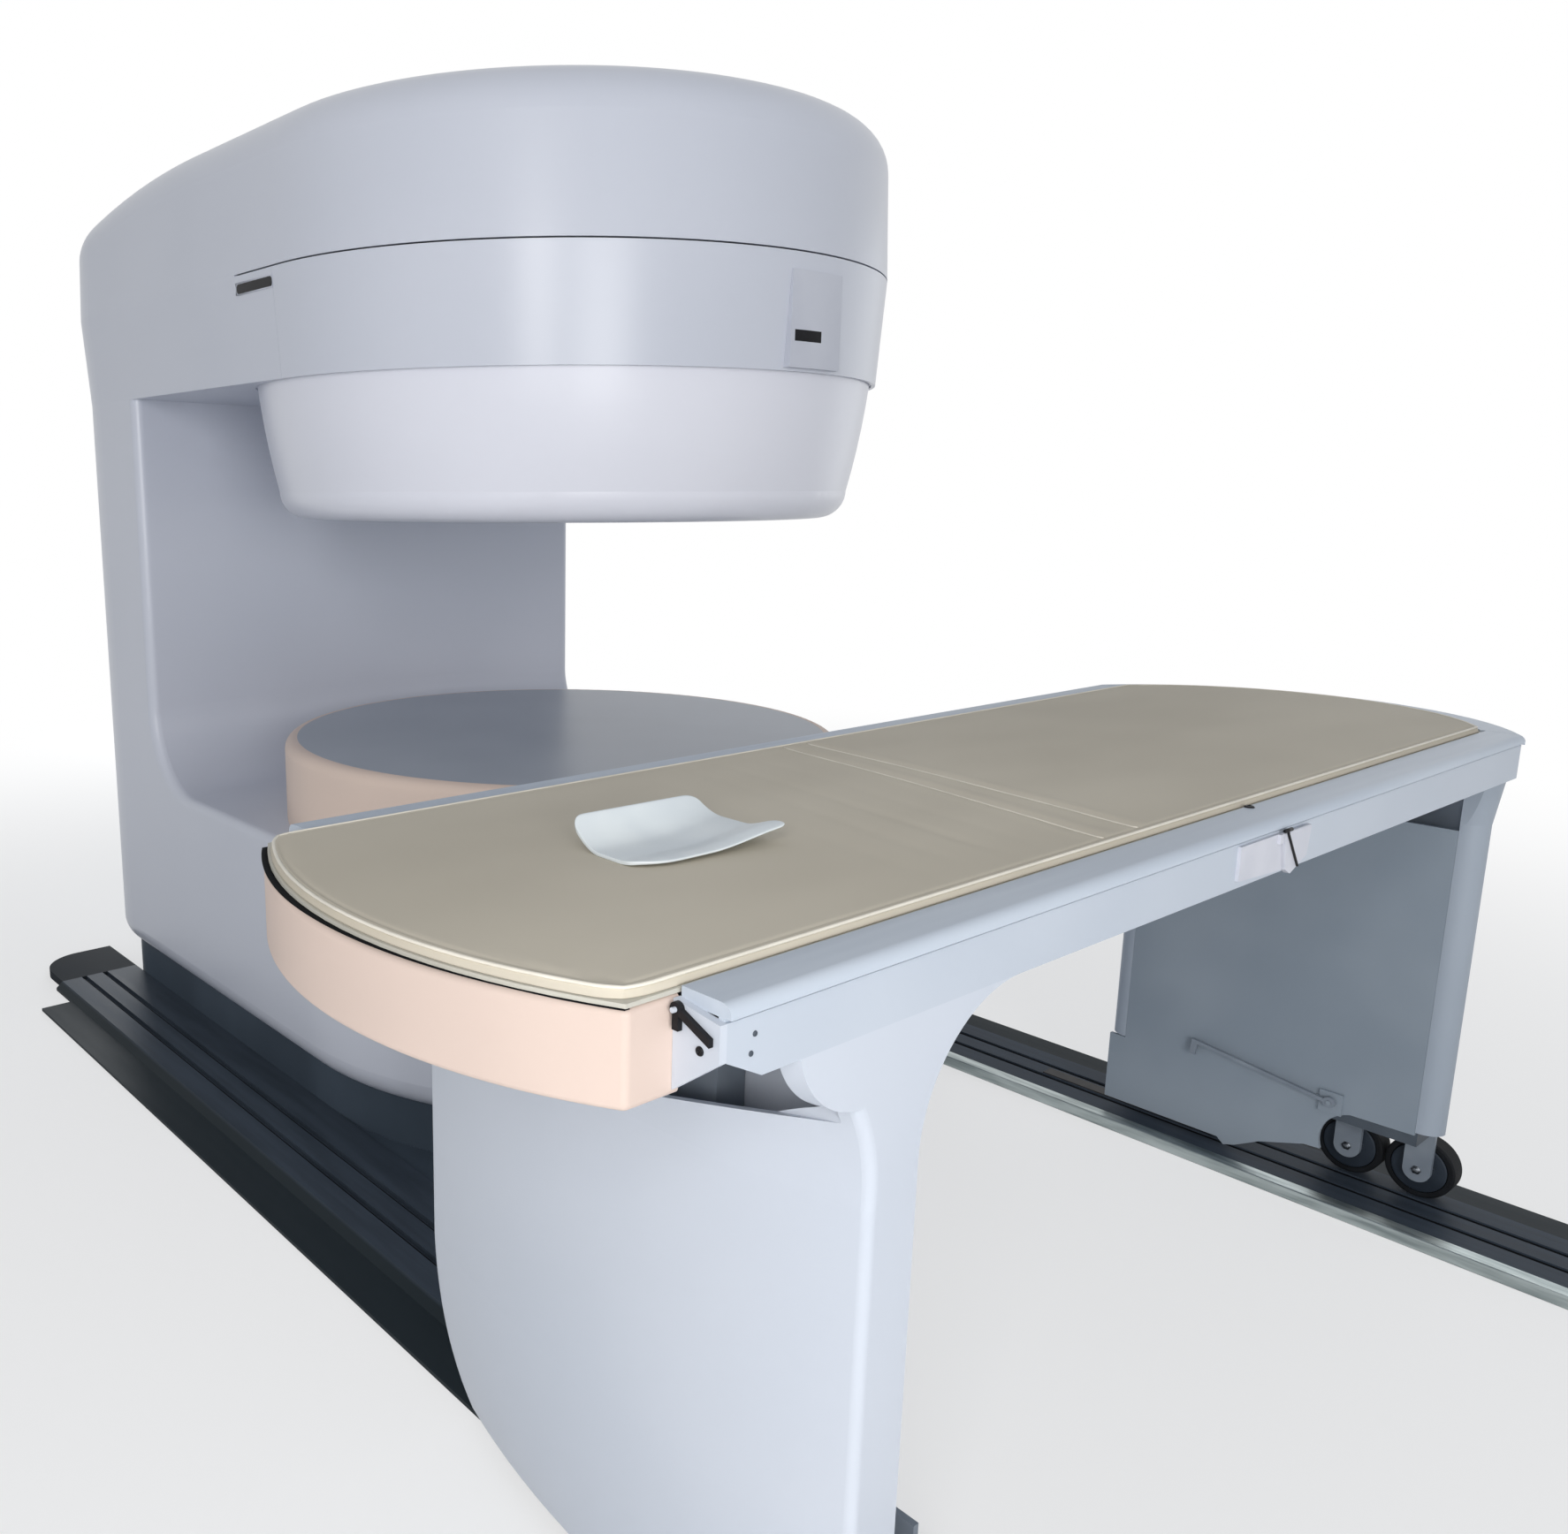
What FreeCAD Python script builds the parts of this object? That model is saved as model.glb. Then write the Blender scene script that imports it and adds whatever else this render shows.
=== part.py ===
"""Open magnetic resonance scanner: a C-shaped magnet gantry and a bridge table on floor rails.

Millimetres. Z is up, the floor is z = 0 and the origin lies on the floor under the axis of the poles.
X runs along the table, Y along the floor rails towards the gantry's column.
"""
import FreeCAD, Part
import math
import os
import re
import Sketcher

Vector = FreeCAD.Vector
TINY = 0.01     # lengths below this count as nothing when edges are picked, mm
SHORT = 1       # edges shorter than this are not worth rounding, mm

# ---------------------------------------------------------------- driving sizes
SIZES = [
    # gantry covers
    ("gantry_half", 674, "half width of the gantry at its side faces"),
    ("gantry_back", 1300, "Y of the back face"),
    ("back_round", 300, "radius of the two upright back corners"),
    ("skirt_z", 121, "lower edge of the covers above the floor"),
    ("skirt_round", 60, "rounding of that lower edge"),
    ("skirt_trim", 5, "how much of that rounding is cut away at the lower edge"),
    ("skirt_inset", 56, "how far the opening in the underside stands back"),
    ("deck_z", 600, "deck round the lower pole"),
    ("wall_side_y", 780, "Y of the column's front face at its side edges"),
    ("wall_sag", 95, "how far that face is hollowed at its middle"),
    ("cove_round", 190, "cove between the column's front face and the deck"),
    ("edge_round", 20, "rounding of the column's and the deck's edges"),
    ("pole_gap", 488, "open height between the two poles"),
    ("pole_high", 271, "height of the upper pole cover below the arm"),
    ("band_high", 207, "height of the front band, from the underside of the arm to the seam"),
    ("seam_gap", 3, "open height of that seam"),
    ("seam_back_y", 190, "Y where the open seam ends on each side"),
    ("band_flare", 14, "how much wider the arm is at the seam than at its underside"),
    ("crown_high", 288, "height of the crown above the seam"),
    ("crown_lean", 12, "how far the crown's side leans in up to its top"),
    ("crown_round", 88, "rounding of the crown's upper edge"),
    ("dip_y", 450, "Y from which the crown's top curves down to the back"),
    ("dip_radius", 3200, "radius of that curve"),
    ("skin", 8, "wall of the moulded covers"),
    ("joint_y", 30, "Y of the upright joint between front band and arm cover"),
    ("joint_gap", 0.8, "open width of that joint"),
    # poles
    ("pole_step", 12, "how far the upper pole cover stands back from the side faces at its rim"),
    ("pole_draw", 38, "how far its side is drawn in from the rim to the lower rounding"),
    ("pole_round", 56, "rounding of its lower edge"),
    ("rim_step", 4, "how far its mounting rim lies above the underside of the arm"),
    ("rim_thick", 6, "thickness of that rim"),
    ("seat_gap", 0.3, "gap round a cover that is let into another"),
    ("drum_step", 40, "how far the lower pole cover stands back from the side faces"),
    ("drum_high", 183, "height of the lower pole above the deck"),
    ("drum_round", 24, "rounding of its upper edge"),
    ("drum_rim", 28, "width of its rim round the inlaid disc"),
    ("disc_thick", 10, "thickness of that disc"),
    # magnet inside the covers
    ("yoke_side_space", 214, "space between the iron yoke and the side faces"),
    ("yoke_back_space", 85, "space behind the yoke"),
    ("yoke_front_space", 55, "space between the yoke column and the column's front face"),
    ("yoke_arm", 230, "height of the yoke's two arms"),
    ("yoke_arm_front", 440, "how far the arms reach beyond the pole axis"),
    ("low_coil_space", 35, "space between the lower ring shim and the cover over it"),
    ("high_coil_space", 11, "space between the upper ring shim and the cover under it"),
    ("magnet_step", 194, "how far the two magnet discs stand back inside the lower pole cover"),
    ("magnet_thick", 230, "their thickness"),
    ("pole_piece_thick", 60, "thickness of the two pole pieces without their ring shims"),
    ("pole_piece_step", 114, "how far the two pole pieces stand back inside it"),
    ("pole_lip", 40, "width and height of the ring shim on a pole piece"),
    ("coil_space", 10, "gap between a gradient coil and its ring shim"),
    ("coil_thick", 38, "thickness of the gradient coil discs"),
    ("coil_bore", 40, "bore of the gradient coil discs"),
    # floor
    ("plinth_inset", 38, "how far the plinth stands back under the covers"),
    ("floor_plate", 16, "thickness of the floor plate under the round front"),
    ("rail_wide", 301.7, "width of a rail"),
    ("rail_high", 22, "height of the rail"),
    ("rail_bevel", 18, "width of the bevel between the track and its outer flange"),
    ("flange_wide", 96, "width of the low outer flange"),
    ("flange_high", 7, "height of that flange"),
    ("flange_back", 980, "Y of its back end"),
    ("groove_first", 88.7, "distance of the inner groove from the rail's inner edge"),
    ("groove_pitch", 58, "distance between the two grooves"),
    ("groove_wide", 14, "width of a groove"),
    ("groove_deep", 9, "depth of a groove"),
    ("rail_back", 1100, "Y of the rail's back end"),
    ("rail_front", -2060, "Y of its front end"),
    ("cap_long", 200, "length of the rail's end cap"),
    ("cap_round", 110, "rounding of the end cap's outer corner"),
    # small pieces on the gantry
    ("panel_wide", 146, "width of the panel on the front band"),
    ("panel_turn", 3.4, "turn of the panel round the pole axis, degrees"),
    ("panel_above", 5, "distance of the panel from the lower edge of the band"),
    ("panel_below", 33, "distance of the panel from the seam"),
    ("panel_proud", 3, "how far the panel stands proud"),
    ("window_wide", 74, "width of the dark window in the panel"),
    ("window_high", 20, "height of that window"),
    ("window_above", 56, "height of its middle above the panel's lower edge"),
    ("window_shift", -26, "how far it stands beside the panel's middle"),
    ("slot_long", 150, "length of the dark slot on each side of the arm"),
    ("slot_high", 18, "height of that slot"),
    ("slot_y", 106, "Y of its middle"),
    ("slot_below", 28, "distance of its middle from the seam"),
    # table: frame and cross-section
    ("table_y", -1320, "Y of the table's long axis"),
    ("table_half", 362.5, "half width over the side rails"),
    ("apron_back", 4, "how far the aprons stand back under the side rails"),
    ("apron_thick", 13, "thickness of an apron"),
    ("apron_high", 55, "height of the aprons"),
    ("saddle_high", 3, "height of the saddle between apron and side rail"),
    ("deck_sunk", 20, "how far the frame's deck plate lies below the upper edge of the aprons"),
    ("deck_thick", 10, "thickness of the deck plate"),
    ("flare_reach", 126, "how far the frame reaches out beyond the flare's knee"),
    ("end_deep", 217, "depth of the round right end"),
    ("table_clear", 145, "height of the patient board's underside above the lower pole"),
    ("side_rail_high", 13, "height of the side rails"),
    ("side_rail_wide", 55, "width of a side rail"),
    ("rail_nose", 11, "rounding of a side rail's outer edge"),
    ("end_reach", 13, "how far the round right end stands out over the right leg"),
    ("end_skin", 12, "wall of the round right end"),
    ("bumper_side", 58, "depth of the bumper at its two sides"),
    ("bumper_arc", 560, "radius of the bumper's outer face in plan"),
    ("bumper_over", 2, "how much wider the bumper is than the patient board, on each side"),
    ("bumper_drop", 82, "how far the bumper reaches down below the side rails"),
    ("bumper_round", 9, "rounding of the bumper's upright corners"),
    ("bumper_edge", 6, "rounding of the bumper's other edges"),
    # left leg
    ("leg_reach", 127, "distance of the left leg's inner face from the wheels' middle"),
    ("arch_round", 150, "rounding between leg and apron"),
    ("leg_deep", 112, "depth of the leg between its inner face and the middle of its outer face"),
    ("leg_draw", 60, "how far that outer face is drawn in at the floor"),
    ("leg_foot_z", 30, "underside of the leg"),
    ("leg_belly_z", 330, "height above which the outer face is upright"),
    ("flare_high", 180, "height of the flare below the aprons"),
    ("leg_flare", 25, "how far the outer face flares out up to its knee"),
    ("knee_high", 70, "height of the flare's knee below the aprons"),
    ("leg_axis", 460, "X of the upright axis that the outer face turns about"),
    ("leg_edge", 12, "rounding of the leg's upright edges"),
    ("bracket_reach", 77, "how far the brackets beside the opening reach out under the frame"),
    ("bracket_wide", 22, "width of these two brackets"),
    ("opening_side", 23, "depth of the opening's sides below the flare's knee"),
    ("opening_deep", 72, "depth of its middle below the knee"),
    ("opening_half", 130, "half the width of its level middle part"),
    # carriage on the left leg
    ("carriage_reach", 58, "how far the left carriage reaches in beyond the wheels' middle"),
    ("carriage_top", 250, "top of the left carriage"),
    ("post_thick", 44, "thickness of the two steel posts in the legs"),
    ("post_wide", 300, "width of these posts"),
    ("carriage_back", 130, "how far the carriage's ends stand back from the side rails"),
    # right leg
    ("post_reach", 115, "distance of the right leg's inner edge from the wheels' middle"),
    ("post_back", 54, "how far the right leg's edges stand back from the side rails"),
    ("post_deep", 136, "depth of the right leg at its middle"),
    ("post_flare", 13, "how far the right leg flares out under the frame"),
    ("post_flare_high", 105, "height of that flare"),
    ("post_z", 188, "lower edge of its outer cover and underside of both carriages"),
    ("beam_half", 274, "half the length of the beam that carries the right wheels"),
    ("post_lip", 37, "width of the lip round its inner side"),
    ("post_round", 33, "rounding of the right leg's two inner corners in plan"),
    ("post_panel_z", 42, "lower edge of its inner panel"),
    ("post_panel_drop", 118, "distance of the inner panel's upper edge from the aprons"),
    ("post_panel_step", 66, "how far along the table axis the panel's low edge reaches"),
    # wheels and forks
    ("wheel_radius", 58, "radius of a wheel"),
    ("wheel_wide", 38, "width of a wheel"),
    ("wheel_in", 178.7, "distance of a wheel's middle from the rail's inner edge"),
    ("wheel_back", 104.5, "distance of the outer wheel of a pair from the side rail"),
    ("wheel_pitch", 119, "distance between the two wheels of a pair"),
    ("wheel_gap", 0.3, "running gap between wheel and rail"),
    ("axle_radius", 6, "radius of a wheel axle"),
    ("axle_play", 0.05, "radial play of a wheel on its axle"),
    ("hub_radius", 26, "radius of the recess in a wheel's face"),
    ("hub_deep", 8, "depth of that recess"),
    ("fork_thick", 9, "thickness of a fork"),
    ("fork_gap", 4, "side gap between fork and wheel"),
    ("fork_wide", 46, "width of a fork's tongue"),
    ("fork_web", 16, "height of the web between a fork's two tongues"),
    # patient board, mattress, headrest
    ("board_lift", 6, "height of the patient board's underside above that of the side rails"),
    ("board_play", 0.8, "gap between the bumper's top and the board"),
    ("board_thick", 4, "thickness of the patient board"),
    ("board_gap", 3.5, "gap between the patient board and a side rail"),
    ("board_inset", 12, "how far the board's left end stands back from the bumper's face"),
    ("board_arc", 620, "radius of the board's left end in plan"),
    ("board_end", 55, "how far the board's right end stands back from the frame's"),
    ("pad_thick", 10, "thickness of the mattress"),
    ("pad_edge", 4, "rounding of the mattress' upper edge"),
    ("pad_back", 3, "how far the mattress stands back from the board's edge"),
    ("pad_seam_x", -440, "X of the mattress' cross channel"),
    ("pad_seam_wide", 26, "width of that channel"),
    ("pad_seam_deep", 2.5, "depth of that channel"),
    ("runner_inset", 94, "distance of a runner's middle from the board's side"),
    ("runner_wide", 40, "width of a runner"),
    ("runner_in", 80, "distance of the runners' left end from the frame's"),
    ("runner_long", 886, "length of a runner"),
    ("glide", 0.3, "running gap under sliding pieces"),
    ("strip_in", 18, "distance of a guide strip's middle from the board's edge"),
    ("strip_wide", 26, "width of a guide strip"),
    ("rest_x", -934, "X of the headrest's middle"),
    ("rest_y", -18, "how far it lies from the table's axis"),
    ("rest_long", 188, "length of the headrest along the table"),
    ("rest_wide", 132, "width of the headrest across the table"),
    ("rest_high", 30, "height of its raised far side"),
    ("rest_low", 16, "height of its near side"),
    ("rest_skin", 5, "thickness of its shell"),
    ("rest_foot", 34, "width of its flat foot"),
    ("rest_turn", -2, "turn of the headrest on the mattress, degrees"),
    # small moving pieces on the table
    ("plate_left", -349, "X of the lock plate's left end"),
    ("plate_long", 115, "length of the lock plate"),
    ("plate_thick", 4, "thickness of the lock plate"),
    ("lever_long", 63, "length of the lever"),
    ("lever_gap", 3, "gap between lock plate and lever"),
    ("lever_high", 48, "height of the lever and the lock plate"),
    ("lever_below", 3, "distance of their upper edge from the upper edge of the apron"),
    ("lever_thick", 7, "thickness of the lever"),
    ("lever_slant", 12, "slope of the joint between lock plate and lever, in width"),
    ("pin_radius", 1.6, "radius of the small hinge pins"),
    ("pin_play", 0.05, "radial play on the small hinge pins"),
    ("latch_in", 8, "distance of the corner latch's pivot from the bumper's side"),
    ("latch_below", -1, "height of its pivot below the upper edge of the apron"),
    ("end_plate", 8, "thickness of the two end plates beside the bumper"),
    ("plate_over", 7, "how far it reaches above the apron there"),
    ("plate_foot", 18, "how far an end plate reaches down below the apron at the bumper"),
    ("corner_cut", 22, "height of the slanting cut at the apron's left corner"),
    ("latch_long", 38, "length of the corner latch"),
    ("latch_wide", 10, "width of its arm"),
    ("latch_thick", 5, "thickness of the latch"),
    ("latch_drop", 17, "drop of the latch's arm over its length"),
    ("pedal_space", 12, "distance of the brake pedal's arm from the inner panel"),
    ("pedal_pivot_y", 132, "distance of its pivot from the table's axis, towards the near side"),
    ("pedal_pivot_z", 197, "height of its pivot"),
    ("pedal_long", 262, "length of the pedal's arm"),
    ("pedal_rise", 8, "slope of the pedal's arm at rest, degrees"),
    ("pedal_thick", 7, "thickness of the pedal's arm"),
]

# Lengths that follow from the driving sizes.
LINKS = {
    # heights of the gantry, from the deck upwards
    "drum_z": "deck_z + drum_high",
    "pole_z": "drum_z + pole_gap",
    "arm_z": "pole_z + pole_high",
    "seam_z": "arm_z + band_high",
    "crown_z": "seam_z + crown_high",
    # round pieces of the poles
    "pole_rim": "gantry_half - pole_step",
    "pole_waist": "pole_rim - pole_draw",
    "drum_radius": "gantry_half - drum_step",
    "disc_radius": "drum_radius - drum_rim",
    "magnet_radius": "drum_radius - magnet_step",
    "pole_piece_radius": "drum_radius - pole_piece_step",
    "coil_radius": "pole_piece_radius - pole_lip - coil_space",
    # yoke
    "pole_stack": "magnet_thick + pole_piece_thick + pole_lip",
    "yoke_half": "gantry_half - yoke_side_space",
    "yoke_back": "gantry_back - yoke_back_space",
    "yoke_front": "wall_side_y + wall_sag + yoke_front_space",
    "yoke_low": "drum_z - disc_thick - skin - low_coil_space - pole_stack - yoke_arm",
    "yoke_high": "pole_z + skin + high_coil_space + pole_stack + yoke_arm",
    # rails
    "rail_inner": "gantry_half - plinth_inset + seat_gap",
    "rail_outer": "rail_inner + rail_wide",
    "track_outer": "rail_outer - flange_wide",
    "groove_a": "rail_inner + groove_first",
    "groove_b": "groove_a + groove_pitch",
    "wheel_x": "rail_inner + wheel_in",
    # small pieces on the gantry
    "panel_low": "arm_z + panel_above",
    "panel_high": "seam_z - panel_below",
    "window_z": "panel_low + window_above",
    "slot_z": "seam_z - slot_below",
    # heights of the table, from the lower pole upwards
    "rail_z": "drum_z + table_clear",
    "rail_top": "rail_z + side_rail_high",
    "board_z": "rail_z + board_lift",
    "pad_z": "board_z + board_thick",
    "pad_top": "pad_z + pad_thick",
    "apron_top": "rail_z - saddle_high",
    "apron_z": "apron_top - apron_high",
    "deck_top": "apron_top - deck_sunk",
    "bumper_z": "rail_z - bumper_drop",
    "leg_flare_z": "apron_z - flare_high",
    "leg_knee_z": "apron_z - knee_high",
    "post_panel_top": "apron_z - post_panel_drop",
    "lever_top": "apron_top - lever_below",
    "lever_low": "lever_top - lever_high",
    "latch_z": "apron_top - latch_below",
    # widths of the table
    "apron_half": "table_half - apron_back",
    "rail_in": "table_half - side_rail_wide",
    "board_half": "rail_in - board_gap",
    "strip_y": "board_half - strip_in",
    "carriage_half": "table_half - carriage_back",
    "post_half": "table_half - post_back",
    "wheel_far": "table_half - wheel_back",
    # lengths of the table, from the wheels outwards
    "leg_inner": "-wheel_x - leg_reach",
    "leg_outer": "leg_inner - leg_deep",
    "leg_foot": "leg_outer + leg_draw",
    "leg_knee": "leg_outer - leg_flare",
    "frame_left": "leg_knee - flare_reach",
    "bumper_corner": "frame_left - bumper_side",
    "bumper_half": "board_half + bumper_over",
    "bumper_apex": "bumper_corner - bumper_arc + sqrt(bumper_arc ^ 2 - bumper_half ^ 2)",
    "carriage_inner": "carriage_reach - wheel_x",
    "post_face": "wheel_x - post_reach",
    "post_apex": "post_face + post_deep",
    "end_apex": "post_apex + end_reach",
    "frame_right": "end_apex - end_deep",
    "board_right": "end_apex - board_end",
    "runner_y": "board_half - runner_inset",
    "runner_left": "frame_left + runner_in",
    "runner_right": "runner_left + runner_long",
    "pedal_x": "post_face - pedal_space",
    "latch_y": "table_y - bumper_half - latch_in",
    "plate_right": "plate_left + plate_long",
    "lever_right": "plate_right + lever_gap + lever_long",
}

DOC = FreeCAD.newDocument("open_scanner")
SHEET = DOC.addObject("Spreadsheet::Sheet", "Sizes")
ALIASES = {alias for alias, value, note in SIZES}
NODES = []


def fill_sheet():
    for row, (alias, value, note) in enumerate(SIZES, start=1):
        SHEET.set(f"A{row}", note)
        SHEET.set(f"B{row}", str(value))
        SHEET.setAlias(f"B{row}", alias)
    DOC.recompute()


# ---------------------------------------------------------------- helpers
def qualified(text):
    """The same expression with its linked lengths spelt out and each alias named on its sheet."""
    def spell(match):
        word = match.group(0)
        if word in LINKS:
            return f"({qualified(LINKS[word])})"
        return f"Sizes.{word}" if word in ALIASES else word
    return re.sub(r"[a-z_]+", spell, text)


def size(text):
    """The value of an expression of the sheet's sizes."""
    return float(SHEET.evalExpression(qualified(str(text))))


def bind(thing, **expressions):
    for name, text in expressions.items():
        thing.setExpression(name.replace("__", "."), qualified(str(text)))
    return thing


def place(thing, x=0, y=0, z=0, turn=0, axis=(0, 0, 1)):
    thing.Placement = FreeCAD.Placement(Vector(0, 0, 0), FreeCAD.Rotation(Vector(*axis), size(turn)))
    return bind(thing, Placement__Base__x=x, Placement__Base__y=y, Placement__Base__z=z)


def node(thing, label):
    """Mark an object as one of the finished pieces."""
    thing.Label = label
    NODES.append(thing)
    return thing


def box(name, x, y, z):
    """A box between two X, two Y and two Z expressions."""
    solid = DOC.addObject("Part::Box", name)
    bind(solid, Length=f"({x[1]}) - ({x[0]})", Width=f"({y[1]}) - ({y[0]})", Height=f"({z[1]}) - ({z[0]})")
    return place(solid, x[0], y[0], z[0])


def cylinder(name, radius, length, x=0, y=0, z=0, axis="Z"):
    solid = DOC.addObject("Part::Cylinder", name)
    bind(solid, Radius=radius, Height=length)
    turn, about = {"Z": (0, (0, 0, 1)), "X": (90, (0, 1, 0)), "Y": (-90, (1, 0, 0))}[axis]
    return place(solid, x, y, z, turn, about)


def cut(name, base, tool):
    result = DOC.addObject("Part::Cut", name)
    result.Base, result.Tool = base, tool
    return result


def common(name, base, tool):
    result = DOC.addObject("Part::Common", name)
    result.Base, result.Tool = base, tool
    return result


def fuse(name, *shapes):
    result = DOC.addObject("Part::MultiFuse", name)
    result.Shapes = list(shapes)
    result.Refine = True
    return result


def rounded(name, base, radius, picks):
    """Fillet the edges of base that picks accepts."""
    DOC.recompute()
    result = DOC.addObject("Part::Fillet", name)
    result.Base = base
    chosen = [i for i, edge in enumerate(base.Shape.Edges, start=1) if picks(edge)]
    result.Edges = [(i, size(radius), size(radius)) for i in chosen]
    return result


def near(value, text):
    return abs(value - size(text)) < 0.01


def flat_at(edge, text):
    """True for an edge that lies wholly at the height of the expression."""
    low_high = edge.BoundBox
    return near(low_high.ZMin, text) and near(low_high.ZMax, text)


def upright(edge):
    """True for a straight edge along Z."""
    span = edge.BoundBox
    return span.XLength < TINY and span.YLength < TINY and span.ZLength > SHORT


def origin_plane(body, role):
    return next(feature for feature in body.Origin.OriginFeatures if feature.Role == role)


def sketch(body, role, path):
    """A closed sketch. Each step of the path is the start point (x, y) of a line, or
    (x, y, through_x, through_y) of an arc that runs through that second point."""
    drawing = body.newObject("Sketcher::SketchObject", body.Name + "_sketch")
    drawing.AttachmentSupport = [(origin_plane(body, role), "")]
    drawing.MapMode = "FlatFace"
    points = [Vector(size(step[0]), size(step[1]), 0) for step in path]
    ends = []
    for index, step in enumerate(path):
        start, end = points[index], points[(index + 1) % len(points)]
        if len(step) == 4:
            curve, forward = arc_through(start, Vector(size(step[2]), size(step[3]), 0), end)
        else:
            curve, forward = Part.LineSegment(start, end), True
        drawing.addGeometry(curve)
        ends.append((1, 2) if forward else (2, 1))
    tie(drawing, path, points, ends)
    return drawing


def arc_through(start, middle, end):
    """The arc through three points, turning about +Z, and whether it runs from start to end."""
    whole = Part.Arc(start, middle, end).toShape().Curve
    forward = (middle - start).cross(end - middle).z > 0
    first, last = (start, end) if forward else (end, start)
    angles = [math.atan2((corner - whole.Center).y, (corner - whole.Center).x) for corner in (first, last)]
    if angles[1] <= angles[0]:
        angles[1] += 2 * math.pi
    circle = Part.Circle(whole.Center, Vector(0, 0, 1), whole.Radius)
    return Part.ArcOfCircle(circle, angles[0], angles[1]), forward


def tie(drawing, path, points, ends):
    """Constrain each corner of a sketch, and a point on each arc, to the sheet."""
    for index, step in enumerate(path):
        after = (index + 1) % len(path)
        drawing.addConstraint(Sketcher.Constraint("Coincident", index, ends[index][1], after, ends[after][0]))
        pin_point(drawing, index, ends[index][0], points[index], step[0], step[1])
    for index, step in enumerate(path):
        if len(step) == 4:
            middle = Vector(size(step[2]), size(step[3]), 0)
            mark = drawing.addGeometry(Part.Point(middle), True)
            pin_point(drawing, mark, 1, middle, step[2], step[3])
            drawing.addConstraint(Sketcher.Constraint("PointOnObject", mark, 1, index))


def pin_point(drawing, geometry, corner, point, x_text, y_text):
    for kind, value, text in (("DistanceX", point.x, x_text), ("DistanceY", point.y, y_text)):
        number = drawing.addConstraint(Sketcher.Constraint(kind, -1, 1, geometry, corner, value))
        drawing.setExpression(f"Constraints[{number}]", qualified(str(text)))


def prism(name, role, path, length, x=0, y=0, z=0, middle=False, taper=0):
    """A body padded from a closed sketch on one of its origin planes."""
    body = DOC.addObject("PartDesign::Body", name)
    pad = body.newObject("PartDesign::Pad", name + "_pad")
    pad.Profile = sketch(body, role, path)
    pad.Midplane = middle
    bind(pad, Length=length)
    if taper:
        bind(pad, TaperAngle=taper)
    body.Tip = pad
    return place(body, x, y, z)


def turned(name, path, x=0, y=0, z=0, turn=0, axis=(0, 0, 1)):
    """A body revolved about the upright axis of its XZ plane."""
    body = DOC.addObject("PartDesign::Body", name)
    spin = body.newObject("PartDesign::Revolution", name + "_turn")
    drawing = sketch(body, "XZ_Plane", path)
    spin.Profile = drawing
    spin.ReferenceAxis = (drawing, ["V_Axis"])
    spin.Angle = 360
    body.Tip = spin
    return place(body, x, y, z, turn, axis)


def gantry_plan(grow="0"):
    """The gantry's plan: a round front about the pole axis, straight sides and round back corners."""
    half = f"(gantry_half + {grow})"
    back = f"(gantry_back + {grow})"
    bend = f"(back_round + {grow})"
    side_end = f"({back} - {bend})"
    corner_x = f"({half} - {bend} + {bend} * 0.70710678)"
    corner_y = f"({side_end} + {bend} * 0.70710678)"
    return [
        (f"-{half}", "0", "0", f"-{half}"),
        (half, "0"),
        (half, side_end, corner_x, corner_y),
        (f"{half} - {bend}", back),
        (f"{bend} - {half}", back, f"-{corner_x}", corner_y),
        (f"-{half}", side_end),
    ]


def segment_plan(face, half, apex):
    """A circular segment in plan: a chord at X = face and its arc out to X = apex."""
    return [(face, f"-({half})", apex, "0"), (face, half)]


# ---------------------------------------------------------------- gantry covers
def main_cover():
    """Base and column in one shell: round skirt, deck, cove and hollow front face."""
    low = "(skirt_z - skirt_trim)"
    whole = prism("body_block", "XY_Plane", gantry_plan(), f"arm_z - {low}", z=low)
    radius = "((gantry_half ^ 2 + wall_sag ^ 2) / (2 * wall_sag))"
    air = cylinder("throat_round", radius, "arm_z - deck_z", 0, f"wall_side_y + wall_sag - {radius}",
                   "deck_z")
    stepped = cut("body_stepped", whole, air)
    smooth = rounded("body_skirt", stepped, "skirt_round", lambda edge: flat_at(edge, low))
    middle_y = "wall_side_y + wall_sag"
    is_cove = lambda edge: flat_at(edge, "deck_z") and abs(edge.BoundBox.YMax - size(middle_y)) < 0.5
    coved = rounded("body_cove", smooth, "cove_round", is_cove)
    soft = rounded("body_soft", coved, "edge_round", throat_edge)
    floor = f"({low} + skirt_round)"
    inner = prism("body_inner", "XY_Plane", gantry_plan("-skin"), f"arm_z - {floor}", z=floor)
    inner_air = cylinder("throat_inner", f"{radius} + skin", "arm_z - deck_z + skin + 1", 0,
                         f"wall_side_y + wall_sag - {radius}", "deck_z - skin")
    hollow = cut("body_hollow", inner, inner_air)
    underside = prism("body_underside", "XY_Plane", gantry_plan("-skirt_inset"), "2 * skirt_round",
                      z="skirt_z - 1")
    below = prism("body_below", "XY_Plane", gantry_plan("1"), "2 * skirt_trim", z="skirt_z - 2 * skirt_trim")
    shell = cut("body_shell", soft, fuse("body_space", hollow, underside, below))
    mouth = cylinder("drum_mouth", "disc_radius - skin", "4 * skin", z="deck_z - 2 * skin")
    return node(cut("main_cover_shape", shell, mouth), "main_cover")


def throat_edge(edge):
    """True for the edges between the side faces and the column's front face, the cove and the deck."""
    span = edge.BoundBox
    on_side = span.XLength < 0.01 and near(abs(span.XMin), "gantry_half")
    on_front = flat_at(edge, "deck_z") and span.YMin < -1
    return (on_side and span.ZMin > size("deck_z") - 1 and span.YMax < size("wall_side_y") + 1) or on_front


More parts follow.
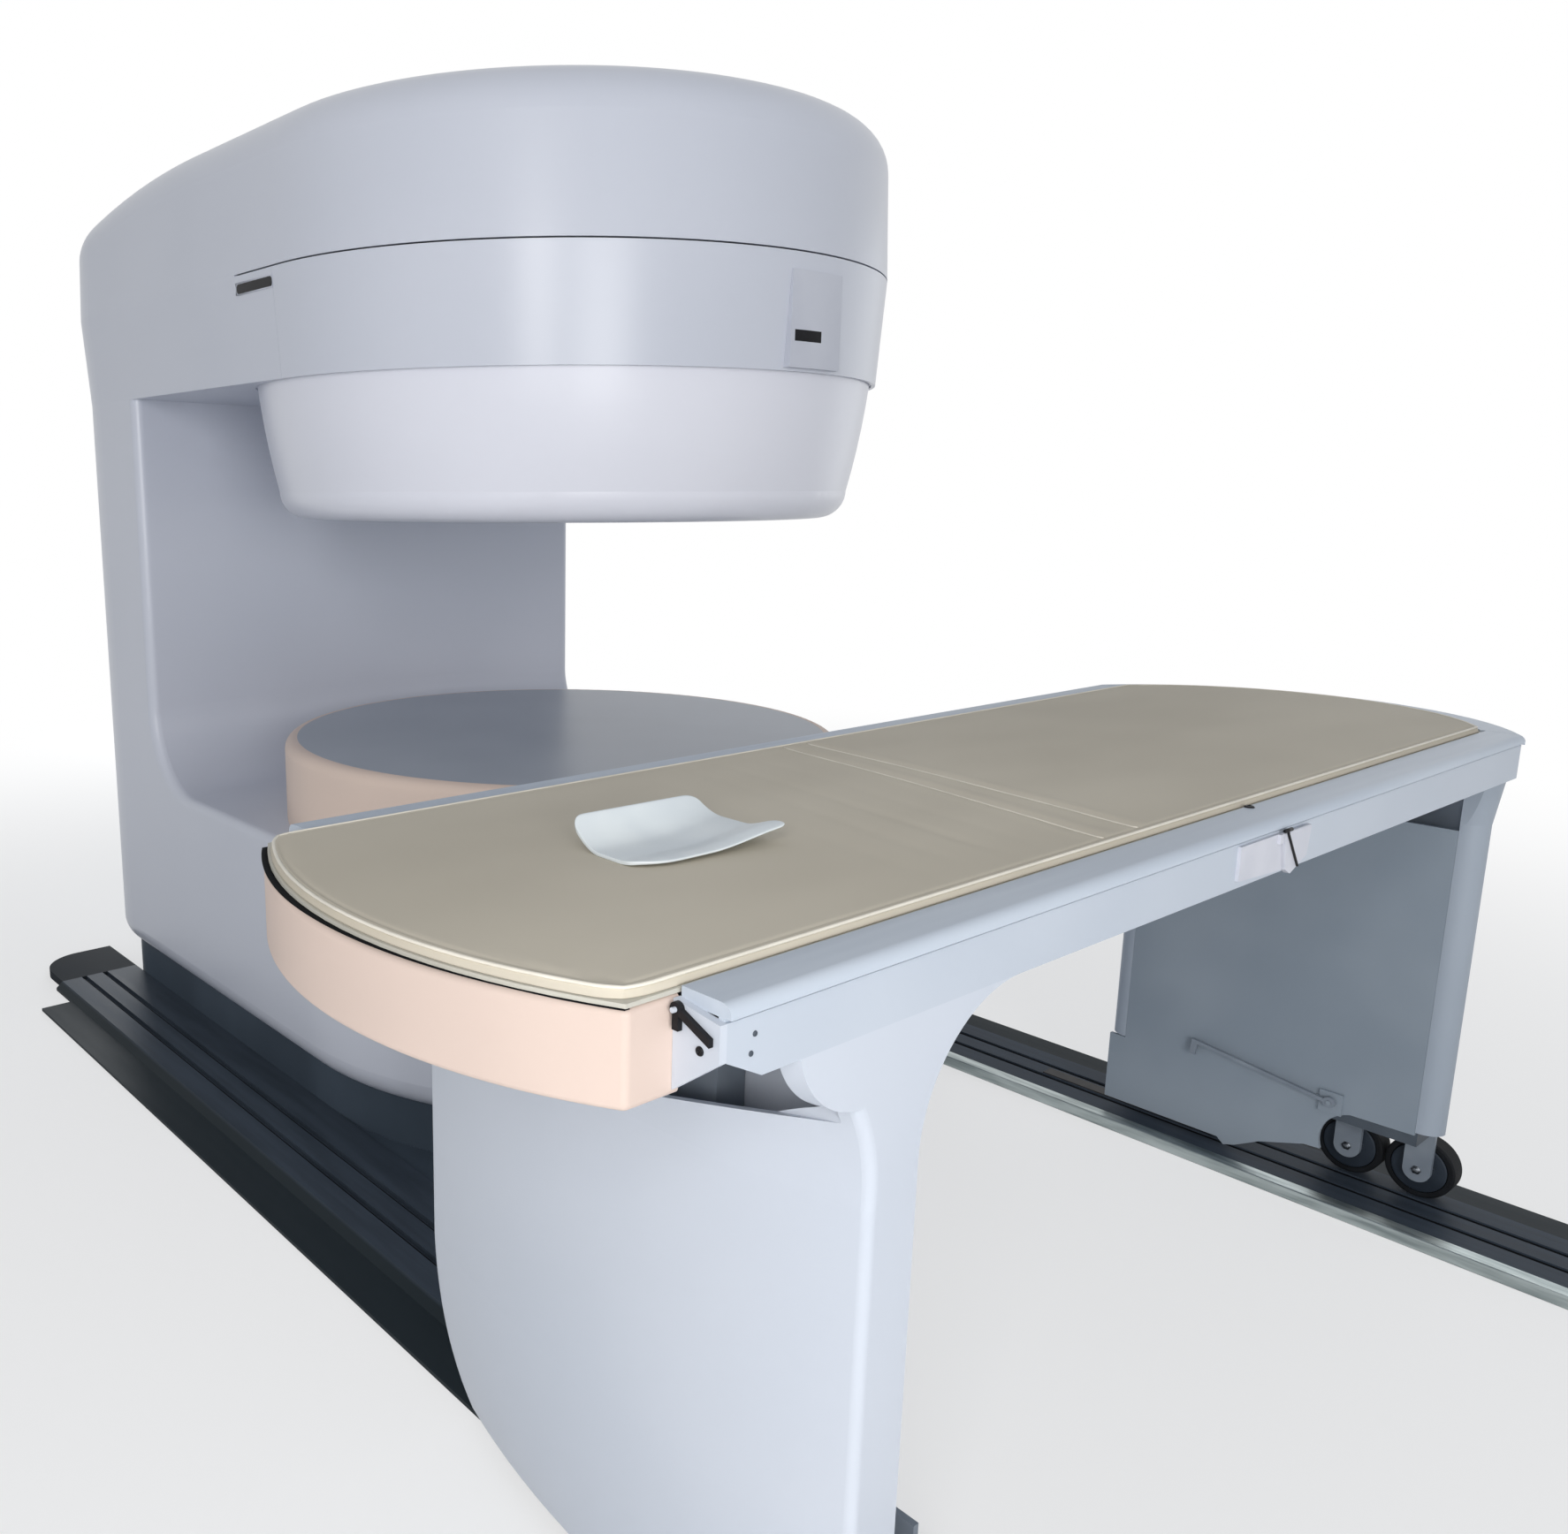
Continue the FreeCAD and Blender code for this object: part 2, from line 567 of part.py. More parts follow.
def arm_block(name, grow="0"):
    """The upper arm between its underside and the seam, a little wider at the top."""
    taper = "atan(band_flare / (seam_z - arm_z)) * 1 deg / 1 deg"
    return prism(name, "XY_Plane", gantry_plan(grow), "seam_z - arm_z", z="arm_z", taper=taper)


def arm_covers():
    """Front band and arm cover, parted by an upright joint on each side."""
    shell = cut("arm_shell", arm_block("arm_outer"), arm_block("arm_inner", "-skin"))
    wide = "(2 * gantry_half)"
    front = box("front_half", (f"-{wide}", wide), (f"-{wide}", "joint_y - joint_gap"),
                ("arm_z", "seam_z - seam_gap"))
    node(common("front_band_shape", shell, front), "front_band")
    rear = box("rear_half", (f"-{wide}", wide), ("joint_y", f"2 * {wide}"), ("arm_z", "seam_z"))
    rear_shell = common("rear_shell", shell, rear)
    floor_plate = prism("arm_floor", "XY_Plane", gantry_plan("-skin / 2"), "skin", z="arm_z")
    floor_rear = common("arm_floor_rear", floor_plate, rear)
    floor_hole = cylinder("arm_floor_hole", "gantry_half - skin", "3 * skin", z="arm_z - skin")
    floor_open = cut("arm_floor_open", floor_rear, floor_hole)
    column_hole = box("column_hole", ("-yoke_half - skin", "yoke_half + skin"),
                      ("yoke_front - skin", "yoke_back + skin"), ("arm_z - skin", "arm_z + 2 * skin"))
    floor_done = cut("arm_floor_done", floor_open, column_hole)
    both = fuse("arm_both", rear_shell, floor_done)
    seam = box("seam_space", (f"-{wide}", wide), ("joint_y - joint_gap", "seam_back_y"),
               ("seam_z - seam_gap", "seam_z + 1"))
    strips = fuse("slot_strips", side_slot("left", -1), side_slot("right", 1))
    return node(cut("arm_cover_shape", both, fuse("arm_pockets", seam, strips)), "arm_cover")


def crown_cover():
    """The cap: flat over the poles, curved down to the back, with a large rounding all round."""
    taper = "-atan(crown_lean / crown_high) * 1 deg / 1 deg"
    block = prism("crown_block", "XY_Plane", gantry_plan("band_flare"), "crown_high", z="seam_z", taper=taper)
    slope = dip_cutter("crown_dip", "0")
    dipped = cut("crown_dipped", block, slope)
    above = size("seam_z") + SHORT
    top_edge = lambda edge: edge.BoundBox.ZMin > above and not upright(edge) and not across_dip(edge)
    smooth = rounded("crown_smooth", dipped, "crown_round", top_edge)
    inner_plan = gantry_plan("band_flare - skin")
    inner = prism("crown_inner", "XY_Plane", inner_plan, "crown_high - crown_round * 0.5 - skin",
                  z="seam_z", taper=taper)
    inner_dipped = cut("crown_inner_dipped", inner, dip_cutter("crown_inner_dip", "crown_round * 0.5 + skin"))
    inner_bevel = DOC.addObject("Part::Chamfer", "crown_inner_bevel")
    inner_bevel.Base = inner_dipped
    DOC.recompute()
    bevel = size("crown_round") * 0.35
    inner_bevel.Edges = [(i, bevel, bevel) for i, edge in enumerate(inner_dipped.Shape.Edges, start=1)
                         if top_edge(edge)]
    return node(cut("crown_cover_shape", smooth, inner_bevel), "crown_cover")


def across_dip(edge):
    """True for the straight line across the crown where its curve to the back begins."""
    span = edge.BoundBox
    return span.YLength < 0.01 and near(span.YMin, "dip_y")


def dip_cutter(name, lower):
    """All that lies above the curve of the crown's top behind dip_y."""
    wide = "(2 * gantry_half)"
    end_y = "(gantry_back + 200)"
    drop = f"(dip_radius - sqrt(dip_radius ^ 2 - ({end_y} - dip_y) ^ 2))"
    half_y = f"(dip_y + ({end_y} - dip_y) / 2)"
    half_drop = f"(dip_radius - sqrt(dip_radius ^ 2 - ({half_y} - dip_y) ^ 2))"
    top = f"(crown_z - ({lower}))"
    path = [
        ("dip_y", top, half_y, f"{top} - {half_drop}"),
        (end_y, f"{top} - {drop}"),
        (end_y, "crown_z + 100"),
        ("dip_y", "crown_z + 100"),
    ]
    return prism(name, "YZ_Plane", path, f"2 * {wide}", middle=True)


def upper_pole():
    """The bowl under the arm: a slightly drawn-in side and a large lower rounding."""
    corner = "pole_round * 0.29289322"
    inner_rim = "(pole_rim - skin)"
    inner_waist = "(pole_waist - skin)"
    shoulder = "(pole_z + pole_round)"
    path = [
        ("0", "pole_z"),
        ("pole_waist - pole_round", "pole_z", f"pole_waist - {corner}", f"pole_z + {corner}"),
        ("pole_waist", shoulder, "(pole_waist + pole_rim) / 2 + 4", f"({shoulder} + arm_z + rim_step) / 2"),
        ("pole_rim", "arm_z + rim_step"),
        ("gantry_half - skin - seat_gap", "arm_z + rim_step"),
        ("gantry_half - skin - seat_gap", "arm_z + rim_step + rim_thick"),
        (inner_rim, "arm_z + rim_step + rim_thick"),
        (inner_waist, shoulder),
        (f"{inner_waist} - pole_round + skin", "pole_z + skin"),
        ("0", "pole_z + skin"),
    ]
    return node(turned("upper_pole_body", path), "upper_pole_cover")


def lower_pole():
    """The drum on the deck: a rounded rim with a disc inlaid in its top."""
    corner = "drum_round * 0.29289322"
    inside = "(drum_radius - skin)"
    seat = "(drum_z - disc_thick)"
    path = [
        ("drum_radius", "deck_z", ),
        ("drum_radius", "drum_z - drum_round", f"drum_radius - {corner}", f"drum_z - {corner}"),
        ("drum_radius - drum_round", "drum_z"),
        ("disc_radius", "drum_z"),
        ("disc_radius", seat),
        ("disc_radius - 3 * skin", seat),
        ("disc_radius - 3 * skin", f"{seat} - skin"),
        (f"{inside} - drum_round", f"{seat} - skin"),
        (inside, "drum_z - drum_round - skin"),
        (inside, "deck_z"),
    ]
    node(turned("lower_pole_body", path), "lower_pole_cover")
    disc = cylinder("disc_block", "disc_radius", "disc_thick", z="drum_z - disc_thick")
    return node(disc, "lower_pole_top")


# ---------------------------------------------------------------- magnet
def yoke():
    """The C-shaped iron: two arms on a column, bolted face to face."""
    across = ("-yoke_half", "yoke_half")
    low = ("yoke_low", "yoke_low + yoke_arm")
    high = ("yoke_high - yoke_arm", "yoke_high")
    depth = ("-yoke_arm_front", "yoke_back")
    node(yoke_arm("lower_yoke_block", across, depth, low), "yoke_lower_arm")
    node(yoke_arm("upper_yoke_block", across, depth, high), "yoke_upper_arm")
    column = box("yoke_column_block", across, ("yoke_front", "yoke_back"), (low[1], high[0]))
    return node(column, "yoke_column")


def yoke_arm(name, across, depth, height):
    """A plate with its two front corners cut off."""
    plate = box(name, across, depth, height)
    is_front = lambda edge: upright(edge) and near(edge.BoundBox.YMin, depth[0])
    DOC.recompute()
    bevelled = DOC.addObject("Part::Chamfer", name + "_bevelled")
    bevelled.Base = plate
    size_of_bevel = size("yoke_half") * 0.45
    bevelled.Edges = [(i, size_of_bevel, size_of_bevel) for i, edge in enumerate(plate.Shape.Edges, start=1)
                      if is_front(edge)]
    return bevelled


def magnet_half(side, seat, sign):
    """Magnet disc, pole piece with its ring shim, and gradient coil, stacked from the yoke's arm."""
    stack = seat
    low = stack if sign > 0 else f"{stack} - magnet_thick"
    magnet = cylinder(f"{side}_magnet_block", "magnet_radius", "magnet_thick", z=low)
    node(magnet, f"{side}_magnet")
    face = f"({stack} + ({sign}) * magnet_thick)"
    back = f"({face} + ({sign}) * pole_piece_thick)"
    lip = f"({back} + ({sign}) * pole_lip)"
    path = [
        ("0", face),
        ("pole_piece_radius", face),
        ("pole_piece_radius", lip),
        ("pole_piece_radius - pole_lip", lip),
        ("pole_piece_radius - pole_lip", back),
        ("0", back),
    ]
    node(turned(f"{side}_pole_body", path), f"{side}_pole_piece")
    coil_end = f"({back} + ({sign}) * coil_thick)"
    coil = [
        ("coil_bore", back),
        ("coil_radius", back),
        ("coil_radius", coil_end),
        ("coil_bore", coil_end),
    ]
    return node(turned(f"{side}_coil_body", coil), f"{side}_gradient_coil")


# ---------------------------------------------------------------- floor
def plinth():
    block = prism("plinth_block", "XY_Plane", gantry_plan("-plinth_inset"), "skirt_z", z="0")
    pocket_plan = gantry_plan("-plinth_inset - 3 * skin")
    pocket = prism("plinth_pocket", "XY_Plane", pocket_plan, "skirt_z", z="2 * skin")
    ring = cut("plinth_ring", block, pocket)
    pads = box("plinth_pads", ("-yoke_half", "yoke_half"), ("-yoke_arm_front + 260", "yoke_back"),
               ("skin", "yoke_low"))
    half = "(gantry_half - plinth_inset)"
    plate = box("plinth_plate", (f"-{half}", half), (f"-{half}", "0"), ("0", "floor_plate"))
    return node(fuse("plinth_shape", ring, pads, plate), "plinth")


def floor_rail(side, sign):
    """A flat track with two grooves and a bevelled outer edge, and its rounded end cap."""
    s = f"({sign})"
    bottom = "(rail_high - groove_deep)"
    path = [(f"{s} * rail_inner", "0"), (f"{s} * rail_inner", "rail_high")]
    for groove in ("groove_a", "groove_b"):
        inner, outer = f"{s} * ({groove} - groove_wide / 2)", f"{s} * ({groove} + groove_wide / 2)"
        path += [(inner, "rail_high"), (inner, bottom), (outer, bottom), (outer, "rail_high")]
    path += [(f"{s} * track_outer", "rail_high"), (f"{s} * (track_outer + rail_bevel)", "flange_high"),
             (f"{s} * (track_outer + rail_bevel)", "0")]
    track = prism(f"rail_{side}_body", "XZ_Plane", path, "rail_back - rail_front", y="rail_back")
    low, high = f"{s} * track_outer", f"{s} * rail_outer"
    flange = box(f"rail_{side}_flange", (low, high) if sign > 0 else (high, low),
                 ("rail_front", "flange_back"),
                 ("0", "flange_high"))
    node(fuse(f"rail_{side}_shape", track, flange), f"floor_rail_{side}")
    bend = "cap_round * 0.29289322"
    outer = "track_outer"
    end = "(rail_back + cap_long)"
    cap = [
        (f"{s} * rail_inner", "rail_back"),
        (f"{s} * rail_inner", end),
        (f"{s} * ({outer} - cap_round)", end, f"{s} * ({outer} - {bend})", f"{end} - {bend}"),
        (f"{s} * {outer}", f"{end} - cap_round"),
        (f"{s} * {outer}", "rail_back"),
    ]
    return node(prism(f"cap_{side}_body", "XY_Plane", cap, "rail_high"), f"rail_end_cap_{side}")


# ---------------------------------------------------------------- small pieces on the gantry
def panel():
    """A thin curved plate on the front band, with a dark window."""
    face = "(gantry_half + band_flare * (panel_high - arm_z) / (seam_z - arm_z))"
    ring = cut("panel_ring",
               cylinder("panel_outer", f"{face} + panel_proud", "panel_high - panel_low", z="panel_low"),
               cone("panel_inner", "panel_low", "panel_high"))
    keep = box("panel_keep", ("-panel_wide / 2", "panel_wide / 2"), ("-2 * gantry_half", "0"),
               ("panel_low", "panel_high"))
    plate = common("panel_plate", ring, keep)
    low, high = "window_z - window_high / 2", "window_z + window_high / 2"
    opening = box("window_space", ("window_shift - window_wide / 2", "window_shift + window_wide / 2"),
                  ("-2 * gantry_half", "0"), (low, high))
    opened = cut("panel_opened", plate, opening)
    glass = common("window_plate", ring, opening)
    for piece, label in ((opened, "control_panel"), (glass, "panel_window")):
        turned_piece = DOC.addObject("Part::Compound", label + "_turned")
        turned_piece.Links = [piece]
        place(turned_piece, turn="panel_turn")
        node(turned_piece, label)


def cone(name, low, high):
    """The outer face of the front band between two heights."""
    slope = "(band_flare / (seam_z - arm_z))"
    solid = DOC.addObject("Part::Cone", name)
    bind(solid, Radius1=f"gantry_half + {slope} * ({low} - arm_z)",
         Radius2=f"gantry_half + {slope} * ({high} - arm_z)",
         Height=f"({high}) - ({low})")
    return place(solid, z=low)


def side_slot(side, sign):
    """A dark window strip let into the side of the arm."""
    face = "(gantry_half + band_flare * (slot_z - arm_z) / (seam_z - arm_z))"
    x = (f"{face} - skin / 2", f"{face} + 1") if sign > 0 else (f"-{face} - 1", f"skin / 2 - {face}")
    y = ("slot_y - slot_long / 2", "slot_y + slot_long / 2")
    z = ("slot_z - slot_high / 2", "slot_z + slot_high / 2")
    strip = box(f"slot_{side}_block", x, y, z)
    along = lambda edge: edge.BoundBox.XLength > 1
    return node(rounded(f"slot_{side}_strip", strip, "slot_high * 0.45", along), f"side_window_{side}")


# ---------------------------------------------------------------- table frame
def table_frame():
    """A channel: deck plate between two aprons, open below."""
    low, high = "deck_top - deck_thick", "deck_top"
    inside = "(apron_half - apron_thick)"
    path = [
        ("-apron_half", "apron_z"), (f"-{inside}", "apron_z"), (f"-{inside}", low), (inside, low),
        (inside, "apron_z"), ("apron_half", "apron_z"), ("apron_half", "apron_top"), (inside, "apron_top"),
        (inside, high), (f"-{inside}", high), (f"-{inside}", "apron_top"), ("-apron_half", "apron_top"),
    ]
    channel = prism("frame_channel", "YZ_Plane", path, "frame_right - frame_left", "frame_left", "table_y")
    corner = [("frame_left - 1", "apron_z + corner_cut"), ("frame_left - 1", "apron_z - 1"),
              ("frame_left + 2 * corner_cut", "apron_z - 1")]
    corners = prism("frame_corners", "XZ_Plane", corner, "4 * table_half", 0, "table_y", 0, middle=True)
    return node(cut("frame_shape", channel, corners), "table_frame")


def round_end():
    """The frame's right end: a hollow half-round cap, open below."""
    outer = segment_plan("frame_right", "apron_half", "end_apex")
    inner = segment_plan("frame_right", "apron_half - end_skin", "end_apex - end_skin")
    cap = prism("end_outer", "XY_Plane", outer, "apron_top - apron_z", 0, "table_y", "apron_z")
    space = prism("end_inner", "XY_Plane", inner, "deck_top - deck_thick - apron_z", 0, "table_y", "apron_z")
    edged = rounded("end_edged", cap, "rail_nose",
                    lambda edge: flat_at(edge, "apron_top") and not straight(edge))
    return node(cut("end_cap_shape", edged, space), "frame_end_cap")


def straight(edge):
    return edge.Curve.TypeId == "Part::GeomLine"


def side_rail(side, sign):
    """A long extrusion on the apron with a rounded outer edge."""
    s = f"({sign})"
    bend = "rail_nose * 0.29289322"
    path = [
        (f"{s} * rail_in", "rail_z"),
        (f"{s} * table_half", "rail_z"),
        (f"{s} * table_half", "rail_top - rail_nose", f"{s} * (table_half - {bend})", f"rail_top - {bend}"),
        (f"{s} * (table_half - rail_nose)", "rail_top"),
        (f"{s} * rail_in", "rail_top"),
    ]
    rail = prism(f"{side}_rail_bar", "YZ_Plane", path, "frame_right - frame_left", "frame_left", "table_y")
    saddle = box(f"{side}_rail_saddle", ("frame_left", "frame_right"),
                 (f"table_y + {s} * (apron_half - apron_thick / 2) - 3",
                  f"table_y + {s} * (apron_half - apron_thick / 2) + 3"),
                 ("apron_top", "rail_z"))
    return node(fuse(f"{side}_rail_shape", rail, saddle), f"side_rail_{side}")


def bumper():
    """The soft-edged block across the left end, round in plan."""
    path = [
        ("frame_left", "-bumper_half"),
        ("frame_left", "bumper_half"),
        ("bumper_corner", "bumper_half", "bumper_apex", "0"),
        ("bumper_corner", "-bumper_half"),
    ]
    block = prism("bumper_block", "XY_Plane", path, "board_z - board_play - bumper_z", 0, "table_y",
                  "bumper_z")
    is_corner = lambda edge: upright(edge) and edge.BoundBox.XMax < size("frame_left") - 1
    bent = rounded("bumper_bent", block, "bumper_round", is_corner)
    outer = lambda edge: not upright(edge) and edge.BoundBox.XMax < size("frame_left") + 0.01 \
        and edge.BoundBox.ZLength < 0.01 and edge.BoundBox.XLength > 0.01
    return node(rounded("bumper_smooth", bent, "bumper_edge", outer), "end_bumper")


def guide_strip(side, sign):
    """A strip on the deck that the patient board glides on."""
    middle = f"(table_y + ({sign}) * strip_y)"
    strip = box(f"strip_{side}_block", ("frame_left + 6", "frame_right - 6"),
                (f"{middle} - strip_wide / 2", f"{middle} + strip_wide / 2"), ("deck_top", "board_z - glide"))
    return node(strip, f"guide_strip_{side}")


# ---------------------------------------------------------------- legs
def leg_arch(shrink="0", low="leg_foot_z", high="apron_z"):
    """Side view of the leg's inner face and the arch that joins it to the apron."""
    middle_x, middle_z = "(leg_inner + arch_round)", "(apron_z - arch_round)"
    radius = f"(arch_round + {shrink})"
    reach = f"sqrt({radius} ^ 2 - (({high}) - {middle_z}) ^ 2)"
    end_x = f"({middle_x} - {reach})"
    return [
        ("leg_foot - 120", low),
        (f"leg_inner - {shrink}", low),
        (f"leg_inner - {shrink}", middle_z, f"{middle_x} - {radius} * 0.8", f"{middle_z} + {radius} * 0.6"),
        (end_x, high),
        (f"frame_left + 8 + {shrink}", high),
        (f"frame_left + 8 + {shrink}", "leg_flare_z"),
        ("leg_foot - 120", "leg_flare_z"),
    ]


def left_leg():
    """The big upright cover: bulged outer face with an opening under the frame, arched into the apron."""
    block = prism("leg_block", "XZ_Plane", leg_arch(), "2 * apron_half", 0, "table_y", 0, middle=True)
    vase = turned("leg_vase", leg_profile(), "leg_axis", "table_y")
    edged = rounded("leg_edged", common("leg_panel", block, vase), "leg_edge", leg_corner)
    room_block = prism("leg_room_block", "XZ_Plane", leg_arch("skin", "leg_foot_z - 2", "apron_z + 0.5"),
                       "2 * (apron_half - skin)", 0, "table_y", 0, middle=True)
    room_vase = turned("leg_room_vase", leg_profile("skin", "leg_foot_z - 3", "apron_z + 1"), "leg_axis",
                       "table_y")
    shell = cut("leg_shell", edged, common("leg_room", room_block, room_vase))
    door = box("leg_door", ("leg_inner - 2 * skin", "leg_inner + 1"),
               ("table_y - carriage_half", "table_y + carriage_half"), ("leg_foot_z - 1", "carriage_top"))
    return node(cut("leg_open", shell, fuse("leg_holes", door, leg_opening())), "left_leg")


def leg_corner(edge):
    """True for the long outer edges of the leg, above its foot and below its flare."""
    span = edge.BoundBox
    on_side = span.YLength < 0.01 and abs(abs(span.YMin - size("table_y")) - size("apron_half")) < 0.01
    middle = edge.valueAt((edge.FirstParameter + edge.LastParameter) / 2)
    outer = middle.x < size("leg_inner - skin / 2")
    return on_side and outer and span.ZLength > size("knee_high / 2") and span.ZMax < size("leg_knee_z") + SHORT


def leg_profile(shrink="0", low="leg_foot_z - 5", high="apron_z + 1"):
    """Radius and height of the outer face about its upright axis."""
    foot, outer, knee = (f"(leg_axis - {x} - {shrink})" for x in ("leg_foot", "leg_outer", "leg_knee"))
    lip = f"({knee} + bracket_reach)"
    return [
        ("1", low),
        (foot, low, f"({foot} + {outer}) / 2 + 7", "leg_belly_z * 0.45"),
        (outer, "leg_belly_z"),
        (outer, "leg_flare_z", f"{outer} + ({knee} - {outer}) * 0.24",
         "leg_flare_z + (leg_knee_z - leg_flare_z) * 0.6"),
        (knee, "leg_knee_z", f"{knee} + bracket_reach * 0.5", "leg_knee_z + knee_high * 0.2"),
        (lip, high),
        ("1", high),
    ]


def leg_opening():
    """The dark opening in the outer face under the frame, between two brackets."""
    half = "(apron_half - bracket_wide)"
    path = [
        (f"-{half}", "apron_z + 1"),
        (f"-{half}", "leg_knee_z - opening_side"),
        ("-opening_half", "leg_knee_z - opening_deep"),
        ("opening_half", "leg_knee_z - opening_deep"),
        (half, "leg_knee_z - opening_side"),
        (half, "apron_z + 1"),
    ]
    reach = "leg_outer + 3 * skin - frame_left"
    return prism("leg_opening", "YZ_Plane", path, reach, "frame_left", "table_y")


def left_carriage():
    """The steel carriage in the left leg's foot, and the post on it that carries the frame."""
    inner = ("table_y - carriage_half + 2", "table_y + carriage_half - 2")
    block = box("carriage_block", ("leg_inner - 2 * skin", "carriage_inner"), inner,
                ("post_z", "carriage_top - 2"))
    is_inner = lambda edge: near(edge.BoundBox.XMin, "carriage_inner") and near(edge.BoundBox.XMax,
                                                                                "carriage_inner")
    DOC.recompute()
    smooth = rounded("carriage_smooth", block, "edge_round", is_inner)
    post = box("left_post", ("leg_inner - skin - post_thick", "leg_inner - skin - 2"),
               ("table_y - post_wide / 2", "table_y + post_wide / 2"), ("post_z", "deck_top - deck_thick"))
    return node(fuse("carriage_shape", smooth, post), "left_carriage")


def post_plan():
    """D-shaped plan of the right leg with two rounded inner corners."""
    flat, bend_y = "(post_half - post_round)", "(post_half - 0.29289 * post_round)"
    side_x, bend_x = "(post_face + post_round)", "(post_face + 0.29289 * post_round)"
    return [
        ("post_face", f"-{flat}", bend_x, f"-{bend_y}"),
        (side_x, "-post_half", "post_apex", "0"),
        (side_x, "post_half", bend_x, bend_y),
        ("post_face", flat),
    ]


def right_leg():
    """A hollow upright, round outside in plan, flared under the frame, with a window in its inner side."""
    flare_z = "(apron_z - post_flare_high)"
    shaft = prism("post_shaft", "XY_Plane", post_plan(), f"{flare_z} - post_z", 0, "table_y", "post_z")
    taper = "atan(post_flare / post_flare_high) * 1 deg / 1 deg"
    flare = prism("post_flare", "XY_Plane", post_plan(), "post_flare_high", 0, "table_y", flare_z,
                  taper=taper)
    beyond = box("post_beyond", ("post_face", "2 * post_apex"), ("2 * table_y", "0"), ("0", "apron_z"))
    outer = common("post_outer", fuse("post_both", shaft, flare), beyond)
    inner_plan = segment_plan("post_face + 2 * skin", "post_half - post_lip / 2", "post_apex - skin")
    inner = prism("post_inner", "XY_Plane", inner_plan, "apron_z - post_z", 0, "table_y", "post_z")
    shell = cut("post_shell", outer, inner)
    pane = "(post_half - post_lip)"
    window = box("post_window", ("post_face - 1", "post_face + 3 * skin"),
                 (f"table_y - {pane}", f"table_y + {pane}"), ("post_z - 1", "apron_z + 1"))
    return node(cut("post_open", shell, window), "right_leg_cover")


def right_panel():
    """The inner panel: set in the leg's window, low over the far wheels, arched over the near wheels."""
    half = "(post_half - post_lip - seat_gap)"
    foot = "(post_half - skin / 2)"
    low = "post_panel_z"
    step = "(post_z - skin / 4)"
    arch = "(wheel_far - wheel_pitch - wheel_radius * 0.3)"
    path = [
        (half, "post_panel_top"),
        (half, step),
        (foot, step),
        (foot, low),
        ("post_panel_step", low),
        ("post_panel_step - 14", f"{low} - 12"),
        ("post_panel_step - 36", f"{low} - 4"),
        ("post_panel_step - 80", f"{low} + 22"),
        ("-94", f"{low} + 50"),
        (f"-{arch}", f"{low} + 52", f"-{arch} - 12", "post_z - 28"),
        (f"-{arch} - 44", "post_z - 8"),
        (f"-{half}", "post_z - 6"),
        (f"-{half}", "post_panel_top"),
    ]
    plate = prism("post_panel_body", "YZ_Plane", path, "skin", "post_face", "table_y")
    pivot_y = "(table_y - pedal_pivot_y)"
    boss = box("pedal_boss", ("post_face - 6", "post_face"), (f"{pivot_y} - 20", f"{pivot_y} + 20"),
               ("pedal_pivot_z - 24", "pedal_pivot_z + 18"))
    pin = cylinder("pedal_pin", "pin_radius * 2.5", "post_face - pedal_x + pedal_thick / 2 + 2",
                   "pedal_x - pedal_thick / 2 - 2", pivot_y, "pedal_pivot_z", "X")
    return node(fuse("right_panel_shape", plate, boss, pin), "right_leg_panel")


# ---------------------------------------------------------------- wheels
def axle_height():
    return "(rail_high + wheel_gap + wheel_radius)"


def fork(side, end, x_sign, y_sign):
    """A tongue that carries a pair of wheels on two fixed axles."""
    s, e = f"({x_sign})", f"({y_sign})"
    near_face = "(wheel_x - wheel_wide / 2 - fork_gap)"
    first = f"(table_y + {e} * wheel_far)"
    second = f"(table_y + {e} * (wheel_far - wheel_pitch))"
    top = "post_z"
    x_low = f"({near_face} - fork_thick)" if x_sign > 0 else f"(-{near_face})"
    pieces = []
    for index, middle in enumerate((first, second)):
        name = f"fork_{side}_{end}_{index}"
        pieces.append(box(name + "_tongue", (x_low, f"{x_low} + fork_thick"),
                          (f"{middle} - fork_wide / 2", f"{middle} + fork_wide / 2"), (axle_height(), top)))
        pieces.append(cylinder(name + "_nose", "fork_wide / 2", "fork_thick", x_low, middle, axle_height(),
                               "X"))
        start = f"({x_low})" if x_sign > 0 else f"(-wheel_x - wheel_wide / 2 - 3)"
        long = "(fork_thick + fork_gap + wheel_wide + 3)"
        pieces.append(cylinder(name + "_axle", "axle_radius", long, start, middle, axle_height(), "X"))
    low_y, high_y = (first, second) if y_sign < 0 else (second, first)
    bridge = box(f"fork_{side}_{end}_web", (x_low, f"{x_low} + fork_thick"),
                 (f"{low_y} - fork_wide / 2", f"{high_y} + fork_wide / 2"), ("post_z - fork_web", top))
    return node(fuse(f"fork_{side}_{end}_shape", bridge, *pieces), f"wheel_fork_{side}_{end}")


def right_post():
    """The steel post inside the right leg, on the beam that both of its forks are bolted to."""
    fork_face = "(wheel_x - wheel_wide / 2 - fork_gap - fork_thick)"
    beam = box("mount_block", ("post_face + skin", fork_face), ("table_y - beam_half", "table_y + beam_half"),
               ("post_z - 30", "post_z"))
    post = box("right_post_block", ("post_face + 2 * skin", "post_face + 2 * skin + post_thick"),
               ("table_y - post_wide / 2", "table_y + post_wide / 2"), ("post_z - 30",
                                                                        "deck_top - deck_thick"))
    return node(fuse("right_post_shape", beam, post), "right_post")


